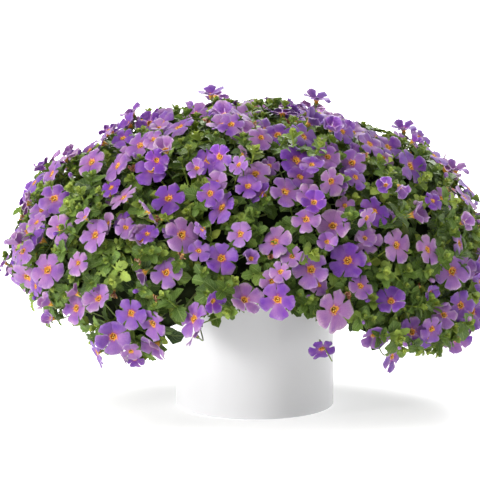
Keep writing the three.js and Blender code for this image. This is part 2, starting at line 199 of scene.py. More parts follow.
def edgeHeight(azimuth):
    height = skirt["edge"]
    for at, width, by in skirt["swags"]:
        away = azimuth + math.pi / 2 - at
        away -= math.tau * math.floor(away / math.tau + 0.5)
        height += by * math.exp(-((away / width) ** 2))
    return height


def isOnMound(place, margin=0.0):
    nearPot = math.hypot(place[0], place[1]) < potSize["radius"] + skirt["clearOfPot"]
    if nearPot and place[2] < potSize["height"] + skirt["clearAbovePot"]:
        return False
    return place[2] > edgeHeight(math.atan2(place[1], place[0])) + margin


def randomDirection(dice):
    azimuth = math.tau * dice()
    return direction(azimuth, math.asin(between(growth["lowest"], 1, dice)))


def nearest(place, others):
    found, item = math.inf, None
    if others:
        away = np.array([other["place"] for other in others]) - place
        squares = (away * away).sum(1)
        at = int(squares.argmin())
        found, item = math.sqrt(squares[at]), others[at]
    return found, item


def spread(count, margin, dice):
    # Places on the mound, each the roomiest of its candidates
    chosen = []
    while len(chosen) < count:
        best = None
        for k in range(growth["candidates"]):
            d = randomDirection(dice)
            place = moundPoint(d)
            if not isOnMound(place, margin):
                continue
            room = nearest(place, chosen)[0]
            if best is None or room > best["room"]:
                best = {"d": d, "place": place, "room": room}
        if best:
            chosen.append(best)
    return chosen


def footOf(d, stem):
    lean = growth["footLean"]
    return moundPoint(unit(d * (1 - lean) + stem["d"] * lean), growth["foot"])


def stemPath(stem):
    azimuth = math.atan2(stem["d"][1], stem["d"][0])

    def at(r, z):
        return np.array([r * math.cos(azimuth), r * math.sin(azimuth), z])

    height = (stem["place"][2] - skirt["edge"]) / (mound["centreHeight"] + mound["rise"] - skirt["edge"])
    root = growth["rootOuter"] + (growth["rootInner"] - growth["rootOuter"]) * height
    low = soilSize["edgeHeight"] - soilSize["holeDepth"] + growth["rootLift"]
    points = [at(root, low), at(root, soilSize["middleHeight"] + growth["aboveSoil"])]
    if stem["place"][2] < growth["rimBelow"]:
        points.append(at(potSize["radius"] + growth["rimOut"], potSize["height"] + growth["rimRise"]))
    return points + [moundPoint(stem["d"], depth) for depth in growth["under"]]


def bloomAt(d, spray, dice):
    place = moundPoint(d, swing(bloomPlan["rough"], dice))
    face = moundNormal(d) + light + strayOf(dice) * 2 * bloomPlan["lean"]
    face = unit(face + unit(place - spray["base"]) * bloomPlan["bend"])
    radius = between(bloomPlan["small"], bloomPlan["large"], dice)
    dice()  # the turn of the solid's bloom, which the finer one picks anew
    return {
        "place": place, "face": face, "radius": radius, "seat": place - face * bloomPlan["tube"],
        "spray": spray, "stem": spray["stem"], "d": d,
    }


def cellOf(p):
    return tuple(int(math.floor(c / notes["cell"])) for c in p)


def note(noted, p):
    noted.setdefault(cellOf(p), []).append(p)


def noteRod(noted, a, b):
    steps = math.ceil(math.dist(a, b) / notes["rodStep"])
    for s in range(steps + 1):
        note(noted, a + (b - a) * (s / steps))


def isNoted(noted, p, within):
    cells = product(*[(c - 1, c, c + 1) for c in cellOf(p)])
    return any(math.dist(p, q) < within for cell in cells for q in noted.get(cell, ()))


def makeLeaf(shoot, angle, lift, length):
    out = around(shoot["face"], angle)
    along = out * math.cos(lift) + shoot["face"] * math.sin(lift)
    across = np.cross(shoot["face"], out)
    return {"root": shoot["place"], "face": shoot["face"], "along": along, "across": across, "length": length}


def leafSamples(leaf):
    points = []
    for t, s in shootPlan["samples"]:
        for side in (1, -1) if s else (0,):
            p = leaf["root"] + leaf["along"] * t * leaf["length"] + leaf["across"] * side * s * leaf["length"]
            points.append(p + leaf["face"] * (shootPlan["sampleLift"] if side else 0))
    return points


def isFree(p, table, rods, leaves):
    clear, fromPot = shootPlan["clearPetal"], shootPlan["clearPot"]
    if math.hypot(p[0], p[1]) < potSize["radius"] + fromPot and p[2] < potSize["height"] + fromPot:
        return False
    height, out = over(p, table["places"], table["faces"])
    back = bloomPlan["cup"] - (bloomPlan["tube"] + bloomPlan["cup"]) * np.maximum(0, 1 - out / table["radii"])
    hit = (np.hypot(height, out) <= table["radii"] + shootPlan["nearBloom"]) & (height < clear)
    if (hit & (out < table["radii"] + shootPlan["besideBloom"]) & (height > back - clear)).any():
        return False
    return not isNoted(rods, p, shootPlan["clearRod"]) and not isNoted(leaves, p, shootPlan["clearLeaf"])


def tableOf(blooms):
    places, faces, radii = (np.array([b[key] for b in blooms]) for key in ("place", "face", "radius"))
    return {"places": places, "faces": faces, "radii": radii}


def planPlant():
    dice = makeDice(growth["seed"])
    stems = spread(growth["stems"], growth["stemMargin"], dice)
    for stem in stems:
        stem.update(path=stemPath(stem), shoots=[], sprays=[])
    sprays = spread(growth["sprays"], growth["sprayMargin"], dice)
    for spray in sprays:
        stem = nearest(spray["place"], stems)[1]
        base = spray["place"] - moundNormal(spray["d"]) * growth["sprayBase"]
        spray.update(base=base, stem=stem, foot=footOf(spray["d"], stem), blooms=[])
        stem["sprays"].append(spray)
    blooms = []

    def addBloom(d, spray):
        bloom = bloomAt(d, spray, dice)
        for other in blooms:
            apart = bloomPlan["sameSpray" if other["spray"] is spray else "otherSpray"]
            if math.dist(other["place"], bloom["place"]) < apart:
                return
        spray["blooms"].append(bloom)
        blooms.append(bloom)

    for spray in sprays:
        addBloom(spray["d"], spray)
    for k in range(bloomPlan["tries"]):
        d = randomDirection(dice)
        place = moundPoint(d)
        if isOnMound(place):
            distance, spray = nearest(place, sprays)
            if distance < growth["sprayWidest"]:
                addBloom(d, spray)
    shoots = planShoots(stems, sprays, blooms, dice)
    return {"stems": stems, "sprays": sprays, "blooms": blooms, "shoots": shoots}


def planShoots(stems, sprays, blooms, dice):
    plan, rods, leaves, shoots = shootPlan, {}, {}, []
    table = tableOf(blooms)
    for bloom in blooms:
        noteRod(rods, bloom["seat"], bloom["spray"]["base"])
    for spray in sprays:
        noteRod(rods, spray["base"], spray["foot"])
    for k in range(plan["tries"]):
        if len(shoots) >= plan["most"]:
            break
        d = randomDirection(dice)
        place = moundPoint(d, between(plan["shallow"], plan["deep"], dice))
        spin = math.tau * dice()
        if not isOnMound(place, plan["margin"]):
            continue
        if nearest(place, blooms)[0] < plan["fromBloom"] or nearest(place, shoots)[0] < plan["fromShoot"]:
            continue
        stem = nearest(place, stems)[1]
        foot = footOf(d, stem)
        if any(isNoted(rods, place + (foot - place) * t, plan["clearRod"]) for t in plan["twigSamples"]):
            continue
        face = unit(moundNormal(d) + upwards * plan["upright"])
        shoot = {"place": place, "face": face, "foot": foot, "stem": stem, "leaves": []}
        for side in range(4):
            angle = spin + math.pi / 2 * side + swing(plan["stray"], dice)
            lift = plan["raise"] * dice() - plan["droop"] * dice()
            length = plan["long"]
            while length > plan["least"]:
                leaf = makeLeaf(shoot, angle, lift, length)
                if all(isFree(p, table, rods, leaves) for p in leafSamples(leaf)):
                    shoot["leaves"].append(leaf)
                    break
                length *= plan["shrink"]
        if len(shoot["leaves"]) < 2:
            continue
        for leaf in shoot["leaves"]:
            for p in leafSamples(leaf):
                note(leaves, p)
        noteRod(rods, place + (foot - place) * plan["twigSamples"][0], foot)
        stem["shoots"].append(shoot)
        shoots.append(shoot)
    return shoots


plant = planPlant()
print("growing rule:", len(plant["blooms"]), "blooms,", len(plant["shoots"]), "shoots")

# Seen closer, the blooms are a little smaller, and those on the crown look outwards rather than straight up

closer = {
    "seed": 43, "size": 0.93, "sizeVariation": 0.12, "stray": 0.85, "crowd": 0.08,
    "upFrom": 0.5, "outwards": 1.5, "aside": 0.5, "discRings": ((0.95, 10), (0.55, 5)),
}
outline = {  # the growth as the front view sees it: X across, and the heights of its crest and of its hem
    "crest": [
        (-200, 114), (-192, 125), (-185, 127), (-177, 151), (-170, 172), (-155, 189), (-145, 201),
        (-132, 200), (-124, 189), (-115, 216), (-94, 222), (-48, 228), (-39, 233), (-25, 234), (-15, 233),
        (34, 231), (43, 229), (55, 225), (66, 217), (81, 212), (88, 204), (100, 206), (113, 206), (128, 201),
        (140, 190), (155, 181), (168, 167), (181, 145), (192, 115),
    ],
    "hem": [
        (-200, 106), (-192, 94), (-177, 89), (-170, 76), (-162, 56), (-132, 59), (-124, 38), (-117, 27),
        (-105, 41), (-93, 23), (-79, 27), (-71, 34), (-56, 29), (-49, 44), (-26, 54), (-11, 69), (34, 65),
        (42, 43), (55, 42), (64, 57), (72, 62), (80, 48), (110, 33), (128, 36), (140, 30), (155, 31),
        (168, 46), (181, 70), (192, 105),
    ],
    "eye": (-11, -1695, 364), "middle": 135, "most": 9, "spare": 1, "shorten": 0.85, "leastLeaf": 7,
}
crowds = [  # spots where the front's blooms crowd, or leave the leaves open: X, height, reach and weight
    (-34, 158, 28, 1.4), (57, 158, 26, 1.0), (57, 75, 28, 1.5), (-170, 80, 28, 1.4), (-79, 33, 20, 0.8),
    (-79, 118, 24, 0.7), (-124, 87, 40, -1.1), (-79, 76, 26, -1.1), (102, 45, 26, -1.2), (102, 80, 28, -0.8),
    (-170, 158, 26, -0.7), (-79, 160, 24, -0.7), (147, 158, 26, -0.8), (102, 116, 24, -0.6),
    (-80, 204, 32, -0.6), (0, 204, 34, -0.6), (80, 200, 34, -0.6),
]


def seenAt(points):
    # Where the front view sees points, as X and height in the plane of the pot's axis
    eye = outline["eye"]
    share = -eye[1] / (points[:, 1] - eye[1])
    return eye[0] + share * (points[:, 0] - eye[0]), eye[2] + share * (points[:, 2] - eye[2])


def crowdAt(place):
    if place[1] > 0:
        return 0.0
    x, z = (float(c[0]) for c in seenAt(place.reshape(1, 3)))
    return sum(
        by * math.exp(-((x - across) ** 2 + (z - up) ** 2) / reach ** 2) for across, up, reach, by in crowds
    )


def isInOutline(points, spare=outline["spare"]):
    x, z = seenAt(points)
    crest, hem = (np.interp(x, *zip(*outline[edge])) for edge in ("crest", "hem"))
    return bool(((z < crest + spare) & (z > hem - spare)).all())


def bringIn(points, place):
    # How far something moves towards the middle until its points lie in the outline
    inwards = unit(np.array([-place[0], 0.0, outline["middle"] - place[2]]))
    for step in range(outline["most"] + 1):
        if isInOutline(points + inwards * step):
            break
    return inwards * step


def discPoints(bloom):
    points = [bloom["place"]]
    for share, count in closer["discRings"]:
        for k in range(count):
            out = around(bloom["face"], math.tau * k / count)
            points.append(bloom["place"] + out * share * bloom["radius"])
    return np.array(points)


def tipOf(leaf):
    return (leaf["root"] + leaf["along"] * leaf["length"]).reshape(1, 3)


def lookOutwards(face, d, dice):
    aside = unit(np.array([c + swing(closer["aside"], dice) for c in d[:2]] + [0.0]))
    return unit(face + aside * max(0.0, face[2] - closer["upFrom"]) * closer["outwards"])


closerDice = makeDice(closer["seed"])
for bloom in plant["blooms"]:
    face = unit(bloom["face"] + strayOf(closerDice) * closer["stray"])
    bloom["face"] = lookOutwards(face, bloom["d"], closerDice)
    bloom["radius"] *= closer["size"] + swing(closer["sizeVariation"], closerDice)
    bloom["radius"] *= 1 + closer["crowd"] * crowdAt(bloom["place"])
    bloom["place"] = bloom["place"] + bringIn(discPoints(bloom), bloom["place"])
for shoot in plant["shoots"]:
    tips = np.concatenate([tipOf(leaf) for leaf in shoot["leaves"]])
    shoot["place"] = shoot["place"] + bringIn(tips, shoot["place"])
    for leaf in shoot["leaves"]:
        leaf["root"] = shoot["place"]
        while leaf["length"] > outline["leastLeaf"] and not isInOutline(tipOf(leaf)):
            leaf["length"] *= outline["shorten"]

# What the solids leave out: smaller blooms between the first ones, and many more leafy shoots

extraBlooms = {
    "seed": 31, "tries": 36000, "most": 282, "margin": 3, "shallow": -2, "deep": 9, "small": 8, "large": 12.5,
    "lean": 0.6, "sideways": 0.42, "sideLean": 1.5, "apart": 0.55, "clear": 0.8, "underLeaf": (-2, 7),
    "standing": 0.1, "standOut": (2, 7), "crowdScale": 0.021, "crowdFrom": -0.05, "lonely": 0.3, "pull": 0.7,
    "beyondBox": 5,
}
extraShoots = {
    "seed": 57, "tries": 34000, "beyondBox": 11, "upright": 0.25, "clear": 1.0, "besideBloom": 0.5,
    "beforeEye": (-2, 20), "eyeWide": 0.6, "tipHeights": (3, 0), "crown": [(4, 2), (7.5, -2), (10.5, -8)],
    "outer": {"most": 610, "apart": 7.8, "margin": 4, "depths": (-2, 9), "stray": 1.1, "reach": 1},
    "inner": {"most": 320, "apart": 11.5, "margin": 0, "depths": (9, 22), "stray": 1.5, "reach": 1.9},
}
tufts = {"scale": 0.038, "offset": (37.1, 36.23, 23.61), "from": 0.04, "span": 0.24, "most": 11}
standing = [  # place, face, radius and form of single blooms that stand out or hang
    ((-33, -6, 237), (-0.15, -0.2, 1.0), 11, 2), ((46, -4, 233), (0.1, -0.2, 1.0), 11.5, 2),
    ((111, -6, 211), (-0.1, -0.25, 1.0), 11, 2), ((124, 4, 204), (0.5, -0.4, 0.7), 9.5, 0),
    ((-92, -6, 223), (-0.5, -0.2, 0.9), 10.5, 2), ((48, -88, 58), (0.15, -0.75, -0.65), 11, 1),
    ((-30, 92, 228), (0.1, 0.5, 0.8), 10.5, 0), ((151, -2, 180), (0.15, -0.2, 1.0), 11.5, 2),
]


def goesThrough(points, disc):
    height, out = over(points, disc["place"], disc["face"])
    inside = height[out < disc["radius"]]
    return len(inside) > 0 and inside.min() < extraBlooms["clear"] and inside.max() > -extraBlooms["clear"]


def isClearOfBlooms(points, table):
    height, out = over(points[:, None, :], table["places"], table["faces"])
    beside = out < table["radii"] + extraShoots["besideBloom"]
    return not (beside & (np.abs(height) < extraShoots["clear"])).any()


def hidesEye(place, table):
    height, out = over(place, table["places"], table["faces"])
    low, high = extraShoots["beforeEye"]
    return ((out < table["radii"] * extraShoots["eyeWide"]) & (height > low) & (height < high)).any()


def isUnderLeaf(bloom, leafPoints):
    height, out = over(leafPoints, bloom["place"], bloom["face"])
    low, high = extraBlooms["underLeaf"]
    return ((out < bloom["radius"]) & (height > low) & (height < high)).any()


def tuftRise(d):
    # Here and there the growth stands out of the mound
    swell = noise.noise(Vector(moundPoint(d)) * tufts["scale"] + Vector(tufts["offset"]))
    return tufts["most"] * max(0.0, min(1.0, (swell - tufts["from"]) / tufts["span"]))


def isWithinBox(place, beyond):
    # The whole plant stays near the box of the solids
    low, high = (np.array(corner) / mm for corner in cadBox)
    return ((place > low - beyond) & (place < high + beyond)).all()


def planExtraBlooms():
    plan, dice = extraBlooms, makeDice(extraBlooms["seed"])
    leaves = [leaf for shoot in plant["shoots"] for leaf in shoot["leaves"]]
    leafPoints = np.array([p for leaf in leaves for p in leafSamples(leaf)])
    every, added = list(plant["blooms"]), []

    def add(bloom):
        bloom.update(disc=discPoints(bloom), stem=nearest(bloom["place"], plant["stems"])[1])
        added.append(bloom)
        every.append(bloom)

    for bloom in every:
        bloom["disc"] = discPoints(bloom)
    for place, face, radius, form in standing:
        place, face = np.array(place, dtype=float), unit(np.array(face))
        add({"place": place, "face": face, "radius": radius, "d": unit(place - centre), "form": form})
    for k in range(plan["tries"]):
        if len(added) >= plan["most"]:
            break
        d = randomDirection(dice)
        place = moundPoint(d, between(plan["shallow"], plan["deep"], dice) - tuftRise(d))
        radius = between(plan["small"], plan["large"], dice)
        stray = strayOf(dice)
        lean = plan["sideLean" if dice() < plan["sideways"] else "lean"]
        dice()  # keeps the draws in their order
        if dice() < plan["standing"]:
            place, lean = moundPoint(d, -between(*plan["standOut"], dice)), plan["sideLean"]
        if not isOnMound(place, plan["margin"]) or not isWithinBox(place, plan["beyondBox"]):
            continue
        pull = crowdAt(place)
        crowd = noise.noise(Vector(place) * plan["crowdScale"]) + plan["pull"] * pull
        if dice() > plan["lonely"] * (1 + min(0, pull)) and crowd < plan["crowdFrom"]:
            continue
        away = np.array([b["place"] for b in every]) - place
        distances = np.sqrt((away * away).sum(1))
        reach = np.array([b["radius"] for b in every]) + radius
        if (distances < reach * plan["apart"]).any():
            continue
        face = lookOutwards(unit(moundNormal(d) + light + stray * 2 * lean), d, dice)
        bloom = {"place": place, "face": face, "radius": radius, "d": d}
        disc = discPoints(bloom)
        if isUnderLeaf(bloom, leafPoints) or not isInOutline(disc):
            continue
        near = [every[i] for i in np.nonzero(distances < reach)[0]]
        if not any(goesThrough(disc, b) or goesThrough(b["disc"], bloom) for b in near):
            add(bloom)
    return added


def crownPoints(face, turn):
    # Where the leaves of a shoot reach, from its tip
    points = [face * height for height in extraShoots["tipHeights"]]
    for out, height in extraShoots["crown"]:
        points += [around(face, turn + math.pi / 3 * k) * out + face * height for k in range(6)]
    return np.array(points)


def planExtraShoots(blooms):
    dice = makeDice(extraShoots["seed"])
    table = tableOf(blooms)
    added = []
    for layer in ("outer", "inner"):
        plan, outer = extraShoots[layer], layer == "outer"
        found, placed = [], list(plant["shoots"]) if outer else []
        for k in range(extraShoots["tries"]):
            if len(found) >= plan["most"]:
                break
            d = randomDirection(dice)
            place = moundPoint(d, between(*plan["depths"], dice) - (tuftRise(d) if outer else 0))
            stray = strayOf(dice)
            turn = math.tau * dice()
            if not isOnMound(place, plan["margin"]) or not isWithinBox(place, extraShoots["beyondBox"]):
                continue
            if nearest(place, placed)[0] < plan["apart"]:
                continue
            face = unit(moundNormal(d) + upwards * extraShoots["upright"] + stray * plan["stray"])
            crown = crownPoints(face, turn)
            if not isInOutline(place + crown * plan["reach"]):
                continue
            if outer and (hidesEye(place, table) or not isClearOfBlooms(place + crown, table)):
                continue
            shoot = {"place": place, "face": face, "turn": turn, "layer": layer}
            shoot["stem"] = nearest(place, plant["stems"])[1]
            found.append(shoot)
            placed.append(shoot)
        added += found
    return added


plant["extraBlooms"] = planExtraBlooms()
plant["extraShoots"] = planExtraShoots(plant["blooms"] + plant["extraBlooms"])
everyBloom = tableOf(plant["blooms"] + plant["extraBlooms"])
print("between them:", len(plant["extraBlooms"]), "blooms,", len(plant["extraShoots"]), "shoots")

# Mesh drafts: points, faces, and the three values that the finishes read

sharpFrom = 75  # a blade's rim parts the shading of its two sides


def newDraft():
    return {"points": [], "faces": [], "along": [], "across": [], "age": []}


def addPoint(draft, p, along, across, age):
    draft["points"].append(tuple(p))
    draft["along"].append(along)
    draft["across"].append(across)
    draft["age"].append(age)
    return len(draft["points"]) - 1


def addFace(draft, corners):
    kept = [c for k, c in enumerate(corners) if c != corners[k - 1]]
    if len(kept) > 2:
        draft["faces"].append(tuple(kept))


def addBlade(draft, place, rows, columns, pointAt, slopeAt, thickness, tones, age):
    # A thin closed blade: its front and back share their rim, so the edge is fine
    last, end = len(rows) - 1, len(columns) - 1
    low, high = tones
    sheets = []
    for side in (1, -1):
        grid = []
        for i, t in enumerate(rows):
            line = []
            off = Vector((-math.sin(slopeAt(t)), 0, math.cos(slopeAt(t)))) * side * thickness / 2
            for j, s in enumerate(columns):
                onRim = i in (0, last) or j in (0, end)
                if side < 0 and onRim:
                    line.append(sheets[0][i][j])
                    continue
                p = Vector(pointAt(t, s))
                if i == last and j and (p - Vector(pointAt(t, columns[0]))).length < 1e-6:
                    line.append(line[0])
                    continue
                p = place @ (p if onRim else p + off)
                line.append(addPoint(draft, p, low + (high - low) * t, s, age))
            grid.append(line)
        sheets.append(grid)
    for side, grid in zip((1, -1), sheets):
        for i in range(last):
            for j in range(end):
                corners = [grid[i][j], grid[i + 1][j], grid[i + 1][j + 1], grid[i][j + 1]]
                addFace(draft, corners[::side])


def addRings(draft, rings, tones, age, inwards=False):
    # Rings of points joined to one skin; a ring of a single point closes an end
    sides = max(len(ring) for ring in rings)
    rows = []
    for ring, tone in zip(rings, tones):
        row = [addPoint(draft, p, tone, 0.5, age) for p in ring]
        rows.append(row if len(row) == sides else row * sides)
    for low, high in zip(rows, rows[1:]):
        for k in range(sides):
            n = (k + 1) % sides
            corners = [low[k], low[n], high[n], high[k]]
            addFace(draft, [corners[0], *corners[:0:-1]] if inwards else corners)
    return rows


def circle(radius, height, sides):
    turns = [math.tau * k / sides for k in range(sides)] if radius else [0]
    return [Vector((radius * math.cos(turn), radius * math.sin(turn), height)) for turn in turns]


def addLathe(draft, profile, sides, place=Matrix()):
    # Profile rows are radius, height and tone; a radius of 0 closes an end in one point
    rings = [[place @ p for p in circle(radius, height, sides)] for radius, height, tone in profile]
    addRings(draft, rings, [tone for radius, height, tone in profile], 0.5)


def addTube(draft, path, radii, sides, age):
    path = [Vector(p) for p in path]
    rings, side = [], None
    for k, p in enumerate(path):
        ahead = (path[min(k + 1, len(path) - 1)] - path[max(k - 1, 0)]).normalized()
        side = ahead.orthogonal() if side is None else side
        side = (side - ahead * side.dot(ahead)).normalized()
        other = ahead.cross(side)
        turns = [math.tau * s / sides for s in range(sides)]
        rings.append([p + (side * math.cos(turn) + other * math.sin(turn)) * radii[k] for turn in turns])
    rows = addRings(draft, rings, [0.0] * len(rings), age)
    addFace(draft, rows[0][::-1])
    addFace(draft, rows[-1])


def smoothPath(points, steps):
    # A soft curve through the points, with a few steps between each two
    points = [Vector(p) for p in points]
    points = [points[0] * 2 - points[1], *points, points[-1] * 2 - points[-2]]
    path = []
    for a, b, c, d in zip(points, points[1:], points[2:], points[3:]):
        for k in range(steps):
            t = k / steps
            square, cube = 2 * a - 5 * b + 4 * c - d, 3 * b - a - 3 * c + d
            path.append(0.5 * (2 * b + (c - a) * t + square * t ** 2 + cube * t ** 3))
    return path + [points[-2]]


def meshOf(name, draft, scale=1.0):
    mesh = bpy.data.meshes.new(name)
    mesh.from_pydata([tuple(c * scale for c in p) for p in draft["points"]], [], draft["faces"])
    for key in ("along", "across", "age"):
        mesh.attributes.new(key, "FLOAT", "POINT").data.foreach_set("value", draft[key])
    mesh.polygons.foreach_set("use_smooth", [True] * len(mesh.polygons))
    mesh.update()
    mesh.set_sharp_from_angle(angle=math.radians(sharpFrom))
    return mesh


def showMesh(name, mesh, finish=None):
    shown = bpy.data.objects.new(name, mesh)
    scene.collection.objects.link(shown)
    if finish:
        mesh.materials.append(finish)
    return shown


def settle(piece, slot, *nodes):
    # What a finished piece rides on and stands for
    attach(piece, "root")
    if nodes:
        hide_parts(*nodes)
    piece.data.calc_loop_triangles()
    print(piece.name, "made,", len(piece.data.loop_triangles), "triangles")


# Finishes: what a socket says can be reckoned with like a number, and colours are red, green and blue to 255


def linear(rgb):
    return tuple((c / 255 / 12.92) if c < 11 else ((c / 255 + 0.055) / 1.055) ** 2.4 for c in rgb)


def feed(node, values):
    for name, value in values.items():
        socket = node.inputs[name]
        if isinstance(value, Value):
            socket.id_data.links.new(value.socket, socket)
        else:
            socket.default_value = (*linear(value), 1) if isinstance(value, tuple) else value


def addNode(tree, kind, inputs={}, **settings):
    node = tree.nodes.new(kind)
    for name, value in settings.items():
        setattr(node, name, value)
    feed(node, inputs)
    return node


def valueOf(tree, kind, inputs={}, output=0, **settings):
    return Value(addNode(tree, kind, inputs, **settings).outputs[output])


class Value:
    def __init__(self, socket):
        self.socket = socket

    def reckon(self, operation, *others):
        inputs = dict(enumerate((self, *others)))
        return valueOf(self.socket.id_data, "ShaderNodeMath", inputs, operation=operation)

    def clamped(self):
        return self.reckon("MAXIMUM", 0.0).reckon("MINIMUM", 1.0)

    def __add__(self, other):
        return self.reckon("ADD", other)

    def __sub__(self, other):
        return self.reckon("SUBTRACT", other)

    def __mul__(self, other):
        return self.reckon("MULTIPLY", other)

    def __pow__(self, other):
        return self.reckon("POWER", other)

    def __gt__(self, other):
        return self.reckon("GREATER_THAN", other)

    def __lt__(self, other):
        return self.reckon("LESS_THAN", other)

    def __abs__(self):
        return self.reckon("ABSOLUTE")


def attribute(tree, name):
    return valueOf(tree, "ShaderNodeAttribute", output="Fac", attribute_name=name)


def objectPlace(tree):
    return valueOf(tree, "ShaderNodeTexCoord", output="Object")


def noiseAt(tree, scale, detail=2):
    inputs = {"Scale": scale, "Detail": detail, "Vector": objectPlace(tree)}
    return valueOf(tree, "ShaderNodeTexNoise", inputs, "Fac")


def ramp(tree, source, stops):
    node = addNode(tree, "ShaderNodeValToRGB", {0: source})
    marks = node.color_ramp.elements
    while len(marks) < len(stops):
        marks.new(0.5)
    for mark, (at, colour) in zip(marks, stops):
        mark.position = at
        mark.color = (*linear(colour), 1)
    return Value(node.outputs[0])


def blendColours(tree, share, a, b):
    return valueOf(tree, "ShaderNodeMix", {0: share, 6: a, 7: b}, 2, data_type="RGBA")


def startFinish(name, **values):
    finish = bpy.data.materials.new(name)
    finish.use_nodes = True
    shader = finish.node_tree.nodes["Principled BSDF"]
    for socket, value in values.items():
        shader.inputs[socket.replace("_", " ")].default_value = value
    return finish, finish.node_tree, shader


def dress(shader, colour, height, strength, distance):
    # The colour of a finish, and its bump
    relief = {"Strength": strength, "Distance": distance, "Height": height}
    normal = valueOf(shader.id_data, "ShaderNodeBump", relief)
    feed(shader, {"Base Color": colour, "Normal": normal})


bloomColours = {
    "inner": [  # sepals, tube, spent petals, anther, pit, ring and lip: place along a bloom, and colour
        (0.0, (92, 124, 58)), (0.06, (110, 138, 66)), (0.1, (186, 180, 76)), (0.17, (240, 180, 64)),
        (0.2, (84, 42, 28)), (0.26, (138, 78, 48)), (0.29, (255, 214, 84)), (0.33, (92, 50, 16)),
        (0.4, (172, 98, 22)), (0.46, (216, 148, 38)),
    ],
    "petalAt": (0.515, 0.545, 0.6, 0.84, 1.0), "petalFrom": 0.58, "veinRelief": -0.5,
    "violet": [(206, 128, 34), (108, 28, 98), (92, 30, 134), (90, 28, 140), (113, 62, 158)],
    "lilac": [(218, 140, 42), (140, 60, 120), (150, 98, 152), (150, 104, 153), (178, 154, 167)],
    "cloudScale": 130, "clouds": 1.9, "eyeFrom": 0.34, "eyeScale": 750, "eyeStray": 0.2, "eyeLong": 0.02,
    "lavender": (122, 96, 168), "lavenderScale": 24, "lavenderSpan": 3.0, "lavenderFrom": -1.3,
    "lavenderShare": 0.24,
    "vein": (72, 36, 104), "veins": 0.14, "veinCount": 12, "veinScale": 700, "veinStray": 5, "veinFine": 6,
    "mottle": (88, 52, 122), "mottles": 0.26, "mottleScale": 420,
    "creaseScale": 1500, "creases": (0.25, 0.0003),
}


def makeBloomFinish():
    c = bloomColours
    finish, tree, shader = startFinish(
        "petals_and_throat", Roughness=0.6, Subsurface_Weight=0.5, Subsurface_Scale=0.0012,
        Subsurface_Radius=(1.0, 0.75, 1.0), Sheen_Weight=0.15, Specular_IOR_Level=0.3,
    )
    along, across, tint = (attribute(tree, name) for name in ("along", "across", "tint"))
    tint = ((noiseAt(tree, c["cloudScale"], detail=1.5) - 0.5) * c["clouds"] + tint).clamped()
    stray = (noiseAt(tree, c["eyeScale"]) - 0.5) * (along > c["eyeFrom"])  # the eye has an uneven edge
    along = stray * c["eyeStray"] + along + abs(across) * c["eyeLong"]
    kinds = [ramp(tree, along, c["inner"] + list(zip(c["petalAt"], c[kind]))) for kind in ("violet", "lilac")]
    onPetal = along > c["petalFrom"]
    patches = noiseAt(tree, c["lavenderScale"], detail=0) * c["lavenderSpan"] + c["lavenderFrom"]
    patches = patches.clamped() * onPetal
    wander = noiseAt(tree, c["veinScale"]) * c["veinStray"] + across * c["veinCount"]
    vein = abs(wander.reckon("SINE")) ** c["veinFine"] * onPetal
    mottle = noiseAt(tree, c["mottleScale"], detail=3) * onPetal
    colour = blendColours(tree, tint, *kinds)
    colour = blendColours(tree, patches * c["lavenderShare"], colour, c["lavender"])
    colour = blendColours(tree, vein * c["veins"], colour, c["vein"])
    colour = blendColours(tree, mottle * c["mottles"], colour, c["mottle"])
    dress(shader, colour, vein * c["veinRelief"] + noiseAt(tree, c["creaseScale"]), *c["creases"])
    return finish


leafColours = {
    "ages": [(0.0, (176, 192, 78)), (0.5, (93, 122, 42)), (1.0, (38, 60, 24))], "ageTint": 0.5,
    "blotch": (42, 68, 22), "blotches": 0.42, "blotchScale": 420, "vein": (148, 166, 92), "veins": 0.35,
    "veinSlant": -0.45, "veinPairs": 17, "veinFine": 5, "ribWide": 0.07, "onLeaf": 0.01,
    "veinRelief": -0.8, "grainScale": 1300, "grain": (0.6, 0.0005),
}


def makeLeafFinish():
    c = leafColours
    finish, tree, shader = startFinish(
        "leaf_green", Roughness=0.55, Subsurface_Weight=0.1, Subsurface_Scale=0.001,
        Subsurface_Radius=(0.8, 1.0, 0.3), Specular_IOR_Level=0.3,
    )
    along, across, age, tint = (attribute(tree, name) for name in ("along", "across", "age", "tint"))
    slant = (abs(across) * c["veinSlant"] + along) * c["veinPairs"]
    side = (abs(slant.reckon("SINE")) * -1 + 1) ** c["veinFine"]
    veins = side.reckon("MAXIMUM", abs(across) < c["ribWide"]) * (along > c["onLeaf"])
    colour = ramp(tree, (tint - 0.5) * c["ageTint"] + age, c["ages"])
    blotches = noiseAt(tree, c["blotchScale"], detail=3) * c["blotches"]
    colour = blendColours(tree, blotches, colour, c["blotch"])
    colour = blendColours(tree, veins * c["veins"], colour, c["vein"])
    dress(shader, colour, veins * c["veinRelief"] + noiseAt(tree, c["grainScale"]), *c["grain"])
    return finish


stemColours = {
    "ages": [(0.0, (134, 156, 80)), (1.0, (96, 92, 52))],
    "mossy": (74, 96, 44), "mossyScale": 300, "mossyShare": 0.6, "grainScale": 900, "grain": (0.4, 0.0004),
}


def makeStemFinish():
    c = stemColours
    finish, tree, shader = startFinish(
        "stem_green", Roughness=0.6, Subsurface_Weight=0.05, Subsurface_Scale=0.001,
    )
    colour = ramp(tree, attribute(tree, "age"), c["ages"])
    moss = noiseAt(tree, c["mossyScale"], detail=3) * c["mossyShare"]
    colour = blendColours(tree, moss, colour, c["mossy"])
    dress(shader, colour, noiseAt(tree, c["grainScale"], detail=3), *c["grain"])
    return finish


finishes = {"bloom": makeBloomFinish(), "leaf": makeLeafFinish(), "stem": makeStemFinish()}
print("finishes made")

# Blooms: five lobes, fused near the golden eye, a tube behind and a green calyx, in radii of the bloom

